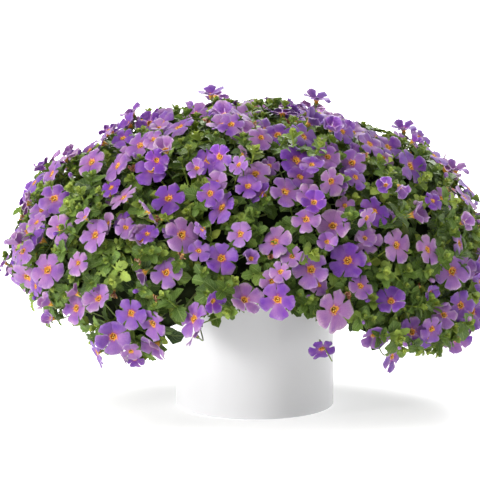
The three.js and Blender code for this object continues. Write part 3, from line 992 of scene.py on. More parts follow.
bloomShape = {
    "forms": [(18, -24, 12), (32, -58, 14), (44, -32, 12), (62, -22, 14), (6, -38, 18)],  # lift, curl, stray
    "variants": 3, "lobesAt": (0, 74, 148, 212, 286), "lobeWide": (1.14, 1.04, 0.94, 0.94, 1.04),
    "lobeLong": (1.06, 1.0, 0.92, 0.92, 1.0), "wide": (0.9, 0.27), "long": (0.92, 0.15), "base": 0.15,
    "baseHeight": -0.1, "length": 0.87, "fused": 0.28,
    "rows": [(0, 0), (0.28, 0), (0.42, 0.3), (0.6, 0.38), (0.77, 0.4), (0.91, 0.345), (1, 0.25)],
    "columns": (-1, -0.5, 0, 0.5, 1), "overlap": 1.25, "round": 0.155, "notch": (0.06, 0.4, 1),
    "wave": (0.09, 0.3, 1), "bow": (0.14, -0.3, 1), "twist": (0.45, -0.4, 1), "folded": 0.14, "fold": 55,
    "thickness": 0.024, "tones": (0.5, 1.0), "full": 1.02, "throatSides": 8,
    "throat": [
        (0, -0.5, 0.1), (0.075, -0.48, 0.1), (0.1, -0.38, 0.13), (0.14, -0.22, 0.165), (0.205, -0.115, 0.17),
        (0.185, -0.1, 0.47), (0.125, -0.16, 0.4), (0.075, -0.22, 0.345), (0, -0.26, 0.33),
    ],
    "anthers": [(0.03, 0.05, -0.1), (0.045, -0.035, -0.12), (-0.05, 0.01, -0.15)],
    "anther": (0.042, 0.8, 0.4), "antherTone": 0.29,
}
calyxShape = {
    "rows": [(0, 0.055), (0.55, 0.06), (1, 0)], "start": (0.085, -0.52), "length": (0.38, 0.9, 0.2),
    "lift": 74, "curl": -34, "thickness": 0.02, "turn": 36, "stray": 10, "hairs": 5, "hairRise": 0.3,
    "hair": [(0.1, 0), (0.18, 0.02)], "hairWidth": 0.004,
}
budShape = {
    "profile": [
        (0, -1, 0.08), (0.2, -0.95, 0.09), (0.27, -0.44, 0.13), (0.275, -0.4, 0.64), (0.42, 0.3, 0.8),
        (0.36, 0.62, 0.9), (0.16, 0.82, 0.95), (0, 0.86, 1.0),
    ],
    "rows": [(0, 0.14), (0.5, 0.16), (0.85, 0.08), (1, 0)], "start": (0.24, -0.95), "length": 1.15,
    "lift": 84, "curl": -12, "thickness": 0.05, "stray": 10, "sides": 8,
}
spentShape = {
    "profile": [
        (0, -1.1, 0.07), (0.2, -1.0, 0.08), (0.24, -0.4, 0.1), (0.235, -0.37, 0.24), (0.12, -0.1, 0.22),
        (0, 0, 0.2),
    ],
    "rows": [(0, 0.1), (0.3, 0.26), (0.6, 0.3), (0.85, 0.2), (1, 0.1)], "columns": (-1, -0.4, 0.3, 1),
    "start": (0.1, -0.2), "length": (1, 0.8, 0.4), "lift": (1, 40, 60), "curl": (-150, -0.4, 1),
    "thickness": 0.06, "tones": (0.2, 0.26), "wave": 0.24, "bow": 0.2, "stray": 40, "tilt": 80,
    "sides": 7,
}
sepalTones = (0.01, 0.06)
fifth = 72  # degrees from one of five to the next
waveTurn = 3.3  # how far a blade's wave turns from its middle to its side


def turned(degrees, axis="Z"):
    return Matrix.Rotation(math.radians(degrees), 4, axis)


def addArcBlade(draft, place, widths, start, length, lift, curl, thickness, tones, **form):
    # A blade along an arc, which starts lifted and curls on
    rows, halves = zip(*widths)
    lift, curl = math.radians(lift), math.radians(curl)
    curl = curl if abs(curl) > 1e-4 else 1e-4

    def pointAt(t, s):
        slope = lift + curl * t
        x = start[0] + length * (math.sin(slope) - math.sin(lift)) / curl
        z = start[1] + length * (math.cos(lift) - math.cos(slope)) / curl
        half = float(np.interp(t, rows, halves)) * form.get("wide", 1)
        raised = form.get("wave", 0) * math.sin(waveTurn * s + form.get("phase", 0)) * t * t
        raised += form.get("fold", 0) * abs(s) * half - form.get("bow", 0) * s * s * t
        return x - raised * math.sin(slope), s * half, z + raised * math.cos(slope)

    columns, age = form.get("columns", (-1, 0, 1)), form.get("age", 0.5)
    addBlade(draft, place, rows, columns, pointAt, lambda t: lift + curl * t, thickness, tones, age)


def addLobe(draft, number, form, dice):
    # A lobe shares its inner edges with its neighbours and is free beyond them
    shape, at = bloomShape, bloomShape["lobesAt"]
    lift, curl, stray = form
    gaps = [math.radians((at[k % 5] - at[k - 1]) % 360) for k in (number, number + 1)]
    own, roll = math.radians(swing(2 * stray, dice)), dice()
    if roll < shape["folded"]:
        own += math.radians(shape["fold"] if roll < shape["folded"] / 2 else -shape["fold"])
    wide = varied(shape["lobeWide"][number], *shape["wide"], dice)
    long = varied(shape["lobeLong"][number], *shape["long"], dice)
    wave, phase = varied(*shape["wave"], dice), anyAngle(dice)
    bow, twist, notch = (varied(*shape[key], dice) for key in ("bow", "twist", "notch"))
    spine, x, z, before = {}, shape["base"], shape["baseHeight"], 0
    for t, half in shape["rows"]:
        free = max(0, t - shape["fused"]) / (1 - shape["fused"])
        slope = math.radians(lift + curl * t) + own * free
        step = (t - before) * shape["length"] * (long if free else 1)
        x, z, before = x + step * math.cos(slope), z + step * math.sin(slope), t
        spine[t] = (x, z, slope, free, half * wide)

    def pointAt(t, s):
        x, z, slope, free, half = spine[t]
        seam = x * math.tan(gaps[0 if s < 0 else 1] / 2)
        half = min(half, seam * shape["overlap"]) if free else seam
        back = shape["round"] * s * s * free ** 3 + notch * (1 - abs(s)) ** 2 * free ** 6
        raised = (wave * math.sin(waveTurn * s + phase) * free - bow * s * s + twist * s * half) * free
        x += -back * math.cos(slope) - raised * math.sin(slope)
        z += -back * math.sin(slope) + raised * math.cos(slope)
        return x, s * half, z

    addBlade(
        draft, turned(at[number]), list(spine), shape["columns"], pointAt, lambda t: spine[t][2],
        shape["thickness"], shape["tones"], 0.5,
    )


def addHair(draft, root, tip, width):
    # A slim three-sided spike
    side = (tip - root).orthogonal().normalized() * width
    other = (tip - root).normalized().cross(side)
    turns = [math.tau * k / 3 for k in range(3)]
    ring = [root + side * math.cos(turn) + other * math.sin(turn) for turn in turns]
    rows = addRings(draft, [ring, [tip]], (0.0, 0.0), 0.1)
    addFace(draft, rows[0][::-1])


def addCalyx(draft, dice):
    shape = calyxShape
    for sepal in range(5):
        place = turned(fifth * sepal + shape["turn"] + shape["stray"] * dice())
        addArcBlade(
            draft, place, shape["rows"], shape["start"], varied(*shape["length"], dice), shape["lift"],
            shape["curl"] * dice(), shape["thickness"], sepalTones,
        )
    for k in range(shape["hairs"]):
        angle, low = anyAngle(dice), shape["start"][1] + shape["hairRise"] * dice()
        out = Vector((math.cos(angle), math.sin(angle), 0))
        root, tip = (out * reach + Vector((0, 0, low + rise)) for reach, rise in shape["hair"])
        addHair(draft, root, tip, shape["hairWidth"])


def makeBloom(form, dice):
    shape, draft = bloomShape, newDraft()
    for number in range(5):
        addLobe(draft, number, form, dice)
    addLathe(draft, shape["throat"], shape["throatSides"])
    for place in shape["anthers"]:
        size, tone = varied(*shape["anther"], dice), shape["antherTone"]
        addLathe(draft, [(0, -size, tone), (size, 0, tone), (0, size, tone)], 4, Matrix.Translation(place))
    addCalyx(draft, dice)
    return draft


def makeBud(dice):
    shape, draft = budShape, newDraft()
    addLathe(draft, shape["profile"], shape["sides"])
    for sepal in range(5):
        addArcBlade(
            draft, turned(fifth * sepal + shape["stray"] * dice()), shape["rows"], shape["start"],
            shape["length"], shape["lift"], shape["curl"], shape["thickness"], sepalTones,
        )
    return draft


def makeSpent(dice):
    # A spent bloom: its petals shrivelled and brown, its calyx still green
    shape, draft = spentShape, newDraft()
    for petal in range(5):
        place = turned(fifth * petal + shape["stray"] * dice()) @ turned(swing(shape["tilt"], dice), "X")
        addArcBlade(
            draft, place, shape["rows"], shape["start"], varied(*shape["length"], dice),
            varied(*shape["lift"], dice), varied(*shape["curl"], dice), shape["thickness"], shape["tones"],
            columns=shape["columns"], wave=shape["wave"], phase=anyAngle(dice), bow=shape["bow"],
        )
    addLathe(draft, shape["profile"], shape["sides"])
    return draft


# Leafy shoots: pairs of toothed leaves up a soft stem, each pair crosswise to the last, in millimetres

leafShape = {
    "toothed": [(0, 0.05), (0.27, 0.43), (0.31, 0.29), (0.53, 0.46), (0.57, 0.31), (0.8, 0.31), (1, 0.02)],
    "plain": [(0, 0.05), (0.4, 0.4), (0.78, 0.27), (1, 0.02)], "wide": (1, 0.88, 0.2), "thickness": 0.03,
    "fold": (0.42, 0.5, 1), "wave": 0.03, "curl": -46, "lift": 10, "tones": (0.02, 1.0),
    "single": -4, "singleAge": (1, 0.35, 0.3),
}
shootShape = {  # a pair has its height, length and lift
    "outer": [(1, 3, 70), (0.2, 4.2, 58), (-1.2, 5.8, 44), (-3.6, 7.8, 28), (-7.4, 10, 12), (-12, 12.4, -4)],
    "inner": [(-1, 8, 42), (-5, 12, 22), (-10, 15.5, 6), (-16, 16.5, -8)],
    "oldest": {"outer": 0.7, "inner": 1.0}, "ageing": 0.7, "plainPairs": 3, "size": (0.85, 0.3),
    "lean": (1.5, 0.7), "leanHeight": 10, "turnStray": 26, "tiltStray": 24, "liftStray": 16,
    "stem": 20, "heights": (-20, -12, -6, 0.3), "radii": (0.85, 0.75, 0.6, 0.45), "stemAge": 0.3,
    "stemSides": 5,
    "hairs": 6, "hairDown": -9, "hairFrom": 0.4, "hairTo": 1.4, "hairRise": 0.1, "hairWidth": 0.05,
}
sprigShape = {
    "from": 14, "stem": [(0, 0, 0), (0.3, 0, 0.02), (0.62, 0, 0)], "radii": (0.03, 0.026, 0.018),
    "leaves": [  # at, length, angle
        (0.1, 0.34, 72), (0.12, 0.34, -68), (0.36, 0.4, 54), (0.38, 0.4, -50), (0.6, 0.4, 6),
    ],
    "stemAge": 0.35, "stemSides": 5, "size": (0.85, 0.3), "turnStray": 20, "tiltStray": 36, "lift": (-4, 14),
    "above": 0.01, "age": 0.55, "younger": 0.4, "ageStray": 0.3,
}


def addLeaf(draft, place, length, lift, age, dice, kind="toothed"):
    shape = leafShape
    addArcBlade(
        draft, place, [(t, half * length) for t, half in shape[kind]], (0, 0), length, lift + shape["lift"],
        shape["curl"] * dice(), shape["thickness"] * length, shape["tones"], age=age,
        wide=varied(*shape["wide"], dice), fold=varied(*shape["fold"], dice), wave=shape["wave"] * length,
        phase=anyAngle(dice),
    )


def makeShoot(layer, dice):
    shape, draft, pairs = shootShape, newDraft(), shootShape[layer]
    lean, aside, tall = swing(shape["lean"][0], dice), shape["lean"][1], shape["leanHeight"]

    def onStem(height):
        return Vector((lean * (height / tall) ** 2, aside * lean * height / tall, height))

    path = [onStem(height) for height in shape["heights"]]
    addTube(draft, path, shape["radii"], shape["stemSides"], shape["stemAge"])
    spin = 360 * dice()
    for k, (height, length, lift) in enumerate(pairs):
        kind = "toothed" if layer == "outer" and k >= shape["plainPairs"] else "plain"
        age = shape["oldest"][layer] * (k / (len(pairs) - 1)) ** shape["ageing"]
        for side in (0, 180):
            turn = turned(spin + 90 * k + side + swing(shape["turnStray"], dice))
            place = Matrix.Translation(onStem(height)) @ turn @ turned(swing(shape["tiltStray"], dice), "X")
            size = varied(length, *shape["size"], dice)
            addLeaf(draft, place, size, lift + swing(shape["liftStray"], dice), age, dice, kind)
    for k in range(shape["hairs"]):
        angle, at = anyAngle(dice), onStem(shape["hairDown"] * dice())
        out = Vector((math.cos(angle), math.sin(angle), shape["hairRise"]))
        addHair(draft, at + out * shape["hairFrom"], at + out * shape["hairTo"], shape["hairWidth"])
    return draft


def makeSingleLeaf(dice):
    shape, draft = leafShape, newDraft()
    addLeaf(draft, Matrix(), 1.0, shape["single"], varied(*shape["singleAge"], dice), dice)
    return draft


def makeSprig(dice):
    # A side sprig of small leaves, as long as one leaf of the solids
    shape, draft = sprigShape, newDraft()
    addTube(draft, shape["stem"], shape["radii"], shape["stemSides"], shape["stemAge"])
    for at, length, angle in shape["leaves"]:
        place = Matrix.Translation((at, 0, shape["above"])) @ turned(angle + swing(shape["turnStray"], dice))
        place = place @ turned(swing(shape["tiltStray"], dice), "X")
        size, lift = varied(length, *shape["size"], dice), between(*shape["lift"], dice)
        age = shape["age"] - shape["younger"] * at + shape["ageStray"] * dice()
        addLeaf(draft, place, size, lift, age, dice)
    return draft


firstOf, countOf = {}, {}


def makeKinds(name, **sorts):
    # A collection of kinds for the points to pick from, and where each sort begins in it
    kinds = bpy.data.collections.new(name)
    scene.collection.children.link(kinds)
    for sort, drafts in sorts.items():
        firstOf[sort], countOf[sort] = len(kinds.objects), len(drafts)
        for draft in drafts:
            own = f"{name}_{len(kinds.objects):02d}"
            kinds.objects.link(bpy.data.objects.new(own, meshOf(own, draft)))
    return kinds


def removeKinds(kinds):
    for kind in list(kinds.objects):
        bpy.data.objects.remove(kind)
    bpy.data.collections.remove(kinds)


def several(sort, make, *given):
    return [make(*given, kindDice) for k in range(kindPlan[sort])]


kindPlan = {"seed": 5, "bud": 2, "spent": 3, "outer": 5, "inner": 5, "leaf": 4, "sprig": 4}
kindDice = makeDice(kindPlan["seed"])
forms = [form for form in bloomShape["forms"] for k in range(bloomShape["variants"])]
bloomKinds = makeKinds(
    "bloom_kind", bloom=[makeBloom(form, kindDice) for form in forms], bud=several("bud", makeBud),
    spent=several("spent", makeSpent),
)
shootKinds = makeKinds(
    "shoot_kind", outer=several("outer", makeShoot, "outer"), inner=several("inner", makeShoot, "inner"),
    leaf=several("leaf", makeSingleLeaf), sprig=several("sprig", makeSprig),
)
print("kinds:", countOf)

# One geometry nodes tree sets kinds on points, each with its own kind, turn, size and tint


def makeSettingTree():
    tree = bpy.data.node_groups.new("set_on_points", "GeometryNodeTree")
    inputs = {
        "Geometry": "Geometry", "Kinds": "Collection", "Size": "Float", "Size variation": "Float",
        "Seed": "Int", "Finish": "Material",
    }
    for name, kind in inputs.items():
        tree.interface.new_socket(name, in_out="INPUT", socket_type="NodeSocket" + kind)
    tree.interface.new_socket("Geometry", in_out="OUTPUT", socket_type="NodeSocketGeometry")
    given = {socket.name: Value(socket) for socket in addNode(tree, "NodeGroupInput").outputs if socket.name}
    kind, turn, size = (
        valueOf(tree, "GeometryNodeInputNamedAttribute", {"Name": name}, data_type=sort)
        for name, sort in (("kind", "INT"), ("turn", "QUATERNION"), ("size", "FLOAT"))
    )
    kinds = valueOf(tree, "GeometryNodeCollectionInfo", {
        "Collection": given["Kinds"], "Separate Children": True, "Reset Children": True,
    })
    chance = valueOf(tree, "FunctionNodeRandomValue", {
        2: given["Size variation"] * -1 + 1, 3: given["Size variation"] + 1, "Seed": given["Seed"],
    }, 1, data_type="FLOAT")
    setting = valueOf(tree, "GeometryNodeInstanceOnPoints", {
        "Points": given["Geometry"], "Instance": kinds, "Pick Instance": True, "Instance Index": kind,
        "Rotation": turn, "Scale": given["Size"] * size * chance,
    })
    realized = valueOf(tree, "GeometryNodeRealizeInstances", {0: setting})
    dressed = {"Geometry": realized, "Material": given["Finish"]}
    addNode(tree, "NodeGroupOutput", {0: valueOf(tree, "GeometryNodeSetMaterial", dressed)})
    return tree


settingTree = makeSettingTree()


def setOnPoints(name, marks, kinds, finish, seed, variation):
    # Marks are places in millimetres with a turn, a size in millimetres, a kind and a tint
    mesh = bpy.data.meshes.new(name + "_points")
    mesh.from_pydata([tuple(mark["at"] * mm) for mark in marks], [], [])
    for key, kind in (("kind", "INT"), ("size", "FLOAT"), ("tint", "FLOAT")):
        mesh.attributes.new(key, kind, "POINT").data.foreach_set("value", [mark[key] for mark in marks])
    turns = mesh.attributes.new("turn", "QUATERNION", "POINT").data
    turns.foreach_set("value", [c for mark in marks for c in mark["turn"]])
    holder = showMesh(name + "_points", mesh)
    modifier = holder.modifiers.new("Set on points", "NODES")
    modifier.node_group = settingTree
    values = {"Kinds": kinds, "Size": mm, "Size variation": variation, "Seed": seed, "Finish": finish}
    for socket in settingTree.interface.items_tree:
        if socket.in_out == "INPUT" and socket.name in values:
            modifier[socket.identifier] = values[socket.name]
    bpy.context.view_layer.update()
    evaluated = holder.evaluated_get(bpy.context.evaluated_depsgraph_get())
    made = bpy.data.meshes.new_from_object(evaluated)
    holder.modifiers.remove(modifier)
    bpy.data.objects.remove(holder)
    made.name = name
    return showMesh(name, made)


def turnOf(x, z):
    # The turn that takes a kind's own X and Z to these two directions
    z = Vector(z).normalized()
    x = Vector(x)
    x = (x - z * x.dot(z)).normalized()
    return Matrix((x, z.cross(x), z)).transposed().to_quaternion()


# Where each kind goes, in four pieces round the plant

sectors = ("front", "right", "back", "left")
marks = {sector: {"blooms": [], "shoots": [], "stalks": []} for sector in sectors}
formShares = {"blooms": (0.38, 0.66, 0.84, 0.91, 1.0), "extraBlooms": (0.26, 0.5, 0.72, 0.87, 1.0)}
marking = {
    "seed": 91, "hang": 0.9, "leafSize": 0.95, "leafTint": (1, 0.15, 0.7), "tipRise": 2, "tipSize": 0.9,
    "shootSize": (1, 0.75, 0.45),
    "bloomSeed": 11, "bloomVariation": 0.03, "shootSeed": 21, "shootVariation": 0.04,
}
small = {  # buds and spent blooms stand on short stalks beside the shoots' tips
    "bud": 70, "spent": 34, "reach": 5, "away": (0.5, 1), "lean": 0.9, "inside": -9, "rise": (1, 2),
    "stalk": (6, 2, 0.9), "size": {"bud": 2.6, "spent": 3.0}, "sizeStray": 1.6,
}
markDice = makeDice(marking["seed"])


def sectorOf(stem):
    azimuth = math.degrees(math.atan2(stem["d"][1], stem["d"][0])) + 135
    return sectors[int(azimuth // 90) % 4]


def mark(sort, stem, at, x, z, size, kind, tint):
    own = {"at": at, "turn": turnOf(x, z), "size": size, "kind": kind, "tint": tint}
    marks[sectorOf(stem)][sort].append(own)


def pickKind(sort):
    return firstOf[sort] + int(countOf[sort] * markDice())


def markBloom(bloom, shares):
    # The largest lobe hangs lowest, more or less
    downwards = unit(-upwards - light + marking["hang"] * strayOf(markDice))
    roll, variants = markDice(), bloomShape["variants"]
    form = bloom.get("form", next(number for number, share in enumerate(shares) if roll <= share))
    kind = form * variants + int(markDice() * variants)
    size = bloom["radius"] * bloomShape["full"]
    mark("blooms", bloom["stem"], bloom["place"], downwards, bloom["face"], size, kind, markDice())


for sort, shares in formShares.items():
    for bloom in plant[sort]:
        markBloom(bloom, shares)
for shoot in plant["shoots"]:
    face, stem = shoot["face"], shoot["stem"]
    for leaf in shoot["leaves"]:
        kind = pickKind("sprig" if leaf["length"] > sprigShape["from"] else "leaf")
        size, tint = leaf["length"] * marking["leafSize"], varied(*marking["leafTint"], markDice)
        if isInOutline(tipOf(leaf)):
            mark("shoots", stem, leaf["root"], leaf["along"], face, size, kind, tint)
    tip = shoot["place"] + face * marking["tipRise"]
    if not hidesEye(tip, everyBloom):
        aside = around(face, anyAngle(markDice))
        mark("shoots", stem, tip, aside, face, marking["tipSize"], pickKind("outer"), markDice())
for shoot in plant["extraShoots"]:
    face, stem = shoot["face"], shoot["stem"]
    size, kind = varied(*marking["shootSize"], markDice), pickKind(shoot["layer"])
    mark("shoots", stem, shoot["place"], around(face, shoot["turn"]), face, size, kind, markDice())

tips = [shoot for shoot in plant["extraShoots"] if shoot["layer"] == "outer"]
tips = [shoot for shoot in tips if isInOutline(shoot["place"].reshape(1, 3), small["inside"])]
for sort in ["bud"] * small["bud"] + ["spent"] * small["spent"]:
    shoot = tips[int(markDice() * len(tips))]
    out = around(shoot["face"], anyAngle(markDice))
    face = unit(shoot["face"] + out * small["lean"])
    at = shoot["place"] + out * small["reach"] * varied(1, *small["away"], markDice)
    at = at + shoot["face"] * varied(1, *small["rise"], markDice)
    kind = pickKind(sort)
    size = small["size"][sort] + small["sizeStray"] * markDice()
    mark("blooms", shoot["stem"], at, out, face, size, kind, markDice())
    under, low, high = small["stalk"]
    stalk = [shoot["place"] - shoot["face"] * under, at - face * size * low, at - face * size * high]
    marks[sectorOf(shoot["stem"])]["stalks"].append(stalk)


def namesIn(sector, name, stems):
    return [f"{name}_{k + 1:02d}" for k, stem in enumerate(stems) if sectorOf(stem) == sector]


for number, sector in enumerate(sectors):
    own = marks[sector]
    name, seed = f"blooms_{sector}", marking["bloomSeed"] + number
    blooms = setOnPoints(name, own["blooms"], bloomKinds, finishes["bloom"], seed, marking["bloomVariation"])
    settle(blooms, "petals", *namesIn(sector, "bloom_spray", [spray["stem"] for spray in plant["sprays"]]))
    name, seed = f"leafy_shoots_{sector}", marking["shootSeed"] + number
    shoots = setOnPoints(name, own["shoots"], shootKinds, finishes["leaf"], seed, marking["shootVariation"])
    settle(shoots, "foliage", *namesIn(sector, "leafy_stem", plant["stems"]))
removeKinds(bloomKinds)
removeKinds(shootKinds)

# Stems, twigs and stalks

stemShape = {  # radius at the foot and at the tip, sides, steps between two points, and age
    "stem": (2.2, 1.5, 9, 6, 0.8), "twig": (1.05, 0.75, 6, 4, 0.5), "shootTwig": (0.75, 0.75, 5, 4, 0.3),
    "branch": (0.6, 0.6, 4, 2, 0.5), "stalk": (0.48, 0.48, 5, 3, 0.15), "budStalk": (0.4, 0.4, 4, 2, 0.1),
}
stalkShape = {"under": 0.5, "straight": 3.5, "foot": 24, "intoShoot": 0.5, "clearOfPot": 8}


def addRod(draft, sort, points):
    foot, tip, sides, steps, age = stemShape[sort]
    path = smoothPath(points, steps)
    addTube(draft, path, np.linspace(foot, tip, len(path)).tolist(), sides, age)


def stalkPath(start, bloom):
    under = bloom["place"] - bloom["face"] * bloom["radius"] * stalkShape["under"]
    return [start, under - bloom["face"] * stalkShape["straight"], under]


def isOffPot(p):
    clear = stalkShape["clearOfPot"]
    return p[2] > potSize["height"] + clear or math.hypot(p[0], p[1]) > potSize["radius"] + clear


for sector in sectors:
    draft = newDraft()
    for stem in [s for s in plant["stems"] if sectorOf(s) == sector]:
        addRod(draft, "stem", stem["path"])
        tip = stem["path"][-1]
        for spray in stem["sprays"]:
            addRod(draft, "twig", [tip, spray["foot"], spray["base"]])
            for bloom in spray["blooms"]:
                addRod(draft, "stalk", stalkPath(spray["base"], bloom))
        for shoot in stem["shoots"]:
            end = shoot["place"] + shoot["face"] * stalkShape["intoShoot"]
            addRod(draft, "shootTwig", [tip, shoot["foot"], end])
    for shoot in [s for s in plant["extraShoots"] if sectorOf(s["stem"]) == sector]:
        start, tip = shoot["place"] - shoot["face"] * shootShape["stem"], shoot["stem"]["path"][-1]
        middle = (start + tip) / 2
        if isOffPot(middle):
            addRod(draft, "branch", [tip, middle, start])
    for bloom in [b for b in plant["extraBlooms"] if sectorOf(b["stem"]) == sector]:
        addRod(draft, "stalk", stalkPath(moundPoint(bloom["d"], stalkShape["foot"]), bloom))
    for stalk in marks[sector]["stalks"]:
        addRod(draft, "budStalk", stalk)
    stems = showMesh(f"stems_{sector}", meshOf(f"stems_{sector}", draft, mm), finishes["stem"])
    settle(stems, "foliage")

# A dark shell inside the plant, which the leaves stand out of: it stands for the inner leaves, coloured
# near-black as painted shade

shadeShellShape = {
    "around": 96, "rows": 28, "outer": 27, "inner": 41, "rough": 8, "roughScale": 0.05, "age": 0.9,
    "margin": 15, "edgeDepth": 4, "edgeStep": 0.03, "edgeLowest": -0.8,
    # near-black greens of the shell: painted shade of the plant's inside
    "leaves": [(0.0, (50, 70, 32)), (0.45, (28, 40, 19)), (1.0, (14, 19, 10))], "leafScale": 130,
    "dusky": (30, 34, 16), "duskyScale": 90, "relief": (0.9, 0.003),
}


def makePaintedShadeFinish():
    shape = shadeShellShape
    # Painted shade: leaf-sized patches of near-black green, mixed in clouds with another dark green
    finish, tree, shader = startFinish("shaded_inner_leaves", Roughness=0.85, Specular_IOR_Level=0.1)
    inputs = {"Scale": shape["leafScale"], "Vector": objectPlace(tree)}
    patch = valueOf(tree, "ShaderNodeTexVoronoi", inputs, "Distance")
    leafy = ramp(tree, patch, shape["leaves"])
    colour = blendColours(tree, noiseAt(tree, shape["duskyScale"], detail=3), leafy, shape["dusky"])
    dress(shader, colour, patch, *shape["relief"])
    return finish


def lowestElevation(azimuth):
    # Down to the hanging edge, or to just above the pot
    shape, elevation = shadeShellShape, math.pi / 2
    while elevation > shape["edgeLowest"]:
        edge = moundPoint(direction(azimuth, elevation), shape["edgeDepth"])
        if not isOnMound(edge, shape["margin"]):
            break
        elevation -= shape["edgeStep"]
    return elevation


def makeShadeShell():
    shape, draft = shadeShellShape, newDraft()
    turns = [math.tau * k / shape["around"] for k in range(shape["around"])]
    lowest = [lowestElevation(azimuth) for azimuth in turns]

    def ringAt(depth, row):
        ring = []
        for azimuth, low in zip(turns, lowest):
            d = direction(azimuth, math.pi / 2 - (math.pi / 2 - low) * (row + 0.5) / (shape["rows"] - 0.5))
            rough = noise.noise(Vector(moundPoint(d)) * shape["roughScale"]) * shape["rough"]
            ring.append(moundPoint(d, depth + rough))
        return ring

    outer = [ringAt(shape["outer"], row) for row in range(shape["rows"])]
    inner = [ringAt(shape["inner"], row) for row in reversed(range(shape["rows"]))]
    top, under = ([moundPoint(upwards, shape[layer])] for layer in ("outer", "inner"))
    rings = [top, *outer, *inner, under]
    addRings(draft, rings, [0.5] * len(rings), shape["age"], inwards=True)
    return draft


# The shell of painted shade rides with the foliage
settle(showMesh("inner_growth", meshOf("inner_growth", makeShadeShell(), mm), makePaintedShadeFinish()), "foliage")

# Pot

potShape = {
    "sides": 128, "foot": 1.6, "lip": 1.5, "inner": 3, "colour": (219, 219, 221), "shade": (199, 199, 201),
    "clouds": 0.05, "cloudScale": 18, "dull": 0.26, "dullStray": 0.12, "dullScale": 60,
    "grainScale": 700, "grain": (0.06, 0.0002), "footRim": 1, "ring": 0.5, "innerFrom": 0.2,
    "footSteps": 6, "lipSteps": 11, "innerSteps": 5, "outerRings": (6, 25, 45, 65, 85),
    "innerRings": (90, 60, 30),
}


def makePotFinish():
    shape = potShape
    finish, tree, shader = startFinish(
        "white_pot", Specular_IOR_Level=0.3, Coat_Weight=0.1, Coat_Roughness=0.18,
    )
    clouds = noiseAt(tree, shape["cloudScale"], detail=4) * shape["clouds"]
    colour = blendColours(tree, clouds, shape["colour"], shape["shade"])
    dull = noiseAt(tree, shape["dullScale"], detail=4) * shape["dullStray"] + shape["dull"]
    feed(shader, {"Roughness": dull})
    dress(shader, colour, noiseAt(tree, shape["grainScale"]), *shape["grain"])
    return finish


def potProfile():
    shape = potShape
    radius, height, wall, floor = (potSize[key] for key in ("radius", "height", "wall", "floor"))
    foot, lip, inner = (shape[key] for key in ("foot", "lip", "inner"))
    middle, inside = radius - wall / 2, radius - wall
    rows = [(0, 0), (radius * shape["ring"], 0), (radius - foot - shape["footRim"], 0)]
    for a in np.linspace(0, math.pi / 2, shape["footSteps"]):
        rows.append((radius - foot + foot * math.sin(a), foot - foot * math.cos(a)))
    rows += [(radius, z) for z in shape["outerRings"]]
    for a in np.linspace(0, math.pi, shape["lipSteps"]):
        rows.append((middle + lip * math.cos(a), height - lip + lip * math.sin(a)))
    rows += [(inside, z) for z in (*shape["innerRings"], floor + inner)]
    for a in np.linspace(shape["innerFrom"], math.pi / 2, shape["innerSteps"]):
        rows.append((inside - inner + inner * math.cos(a), floor + inner - inner * math.sin(a)))
    rows += [(radius * shape["ring"], floor), (0, floor)]
    return [(r, z, 0.5) for r, z in rows]


draft = newDraft()
addLathe(draft, potProfile(), potShape["sides"])
pot = showMesh("white_cylindrical_pot", meshOf("white_cylindrical_pot", draft, mm), makePotFinish())
settle(pot, "pot", "pot")

# Potting soil

soilShape = {
    "around": 96, "rows": 30, "rough": 1.6, "roughScale": 0.12, "edgeDrop": 1, "fall": 2.4, "seed": 19,
    "crumbs": 560, "crumbKinds": 5, "crumbReach": 55, "smallest": 0.7, "largest": 2.4, "lift": 0.1,
    "grains": [(0.3, (30, 21, 14)), (0.55, (66, 47, 32)), (0.8, (104, 80, 58))], "grainScale": 520,
    "speck": (206, 200, 188), "white": 0.1, "relief": (0.8, 0.0015), "fractal": (0.8, 2.1, 4), "slice": 3,
    "crumbRings": (-0.75, 0, 0.75), "crumbSides": 6, "crumbStray": (0.7, 0.6), "mostlySmall": 3,
    "setSeed": 33, "variation": 0.1,
}
soilRadius = potSize["radius"] - potSize["wall"] - soilSize["gap"]


def makeSoilFinish():
    finish, tree, shader = startFinish("potting_soil", Roughness=0.95, Specular_IOR_Level=0.15)
    grains = noiseAt(tree, soilShape["grainScale"], detail=6)
    specks = attribute(tree, "tint") > 1 - soilShape["white"]
    colour = blendColours(tree, specks, ramp(tree, grains, soilShape["grains"]), soilShape["speck"])
    dress(shader, colour, grains, *soilShape["relief"])
    return finish


def onSoil(p, lift=0.0):
    share = min(1, math.hypot(p[0], p[1]) / soilRadius)
    fall = soilSize["edgeHeight"] - soilShape["edgeDrop"] - soilSize["middleHeight"]
    height = soilSize["middleHeight"] + fall * share ** soilShape["fall"]
    at = Vector((p[0], p[1], soilShape["slice"])) * soilShape["roughScale"]
    rough = noise.fractal(at, *soilShape["fractal"])
    return np.array([p[0], p[1], height + soilShape["rough"] * rough + lift])


def makeSoil():
    shape, draft = soilShape, newDraft()
    radii = [soilRadius * row / shape["rows"] for row in range(shape["rows"] + 1)]
    bottom = potSize["floor"] + soilSize["gap"]
    rings = [[onSoil(p) for p in circle(radius, 0, shape["around"])] for radius in radii]
    rings += [circle(soilRadius, bottom, shape["around"]), circle(0, bottom, 1)]
    addRings(draft, rings, [0.5] * len(rings), 0.5, inwards=True)
    return draft


def makeCrumb(dice):
    shape, ball = soilShape, newDraft()
    rings = [(math.cos(a), math.sin(a), 0) for a in shape["crumbRings"]]
    addLathe(ball, [(0, -1, 0), *rings, (0, 1, 0)], shape["crumbSides"])
    ball["points"] = [tuple(varied(c, *shape["crumbStray"], dice) for c in p) for p in ball["points"]]
    return ball


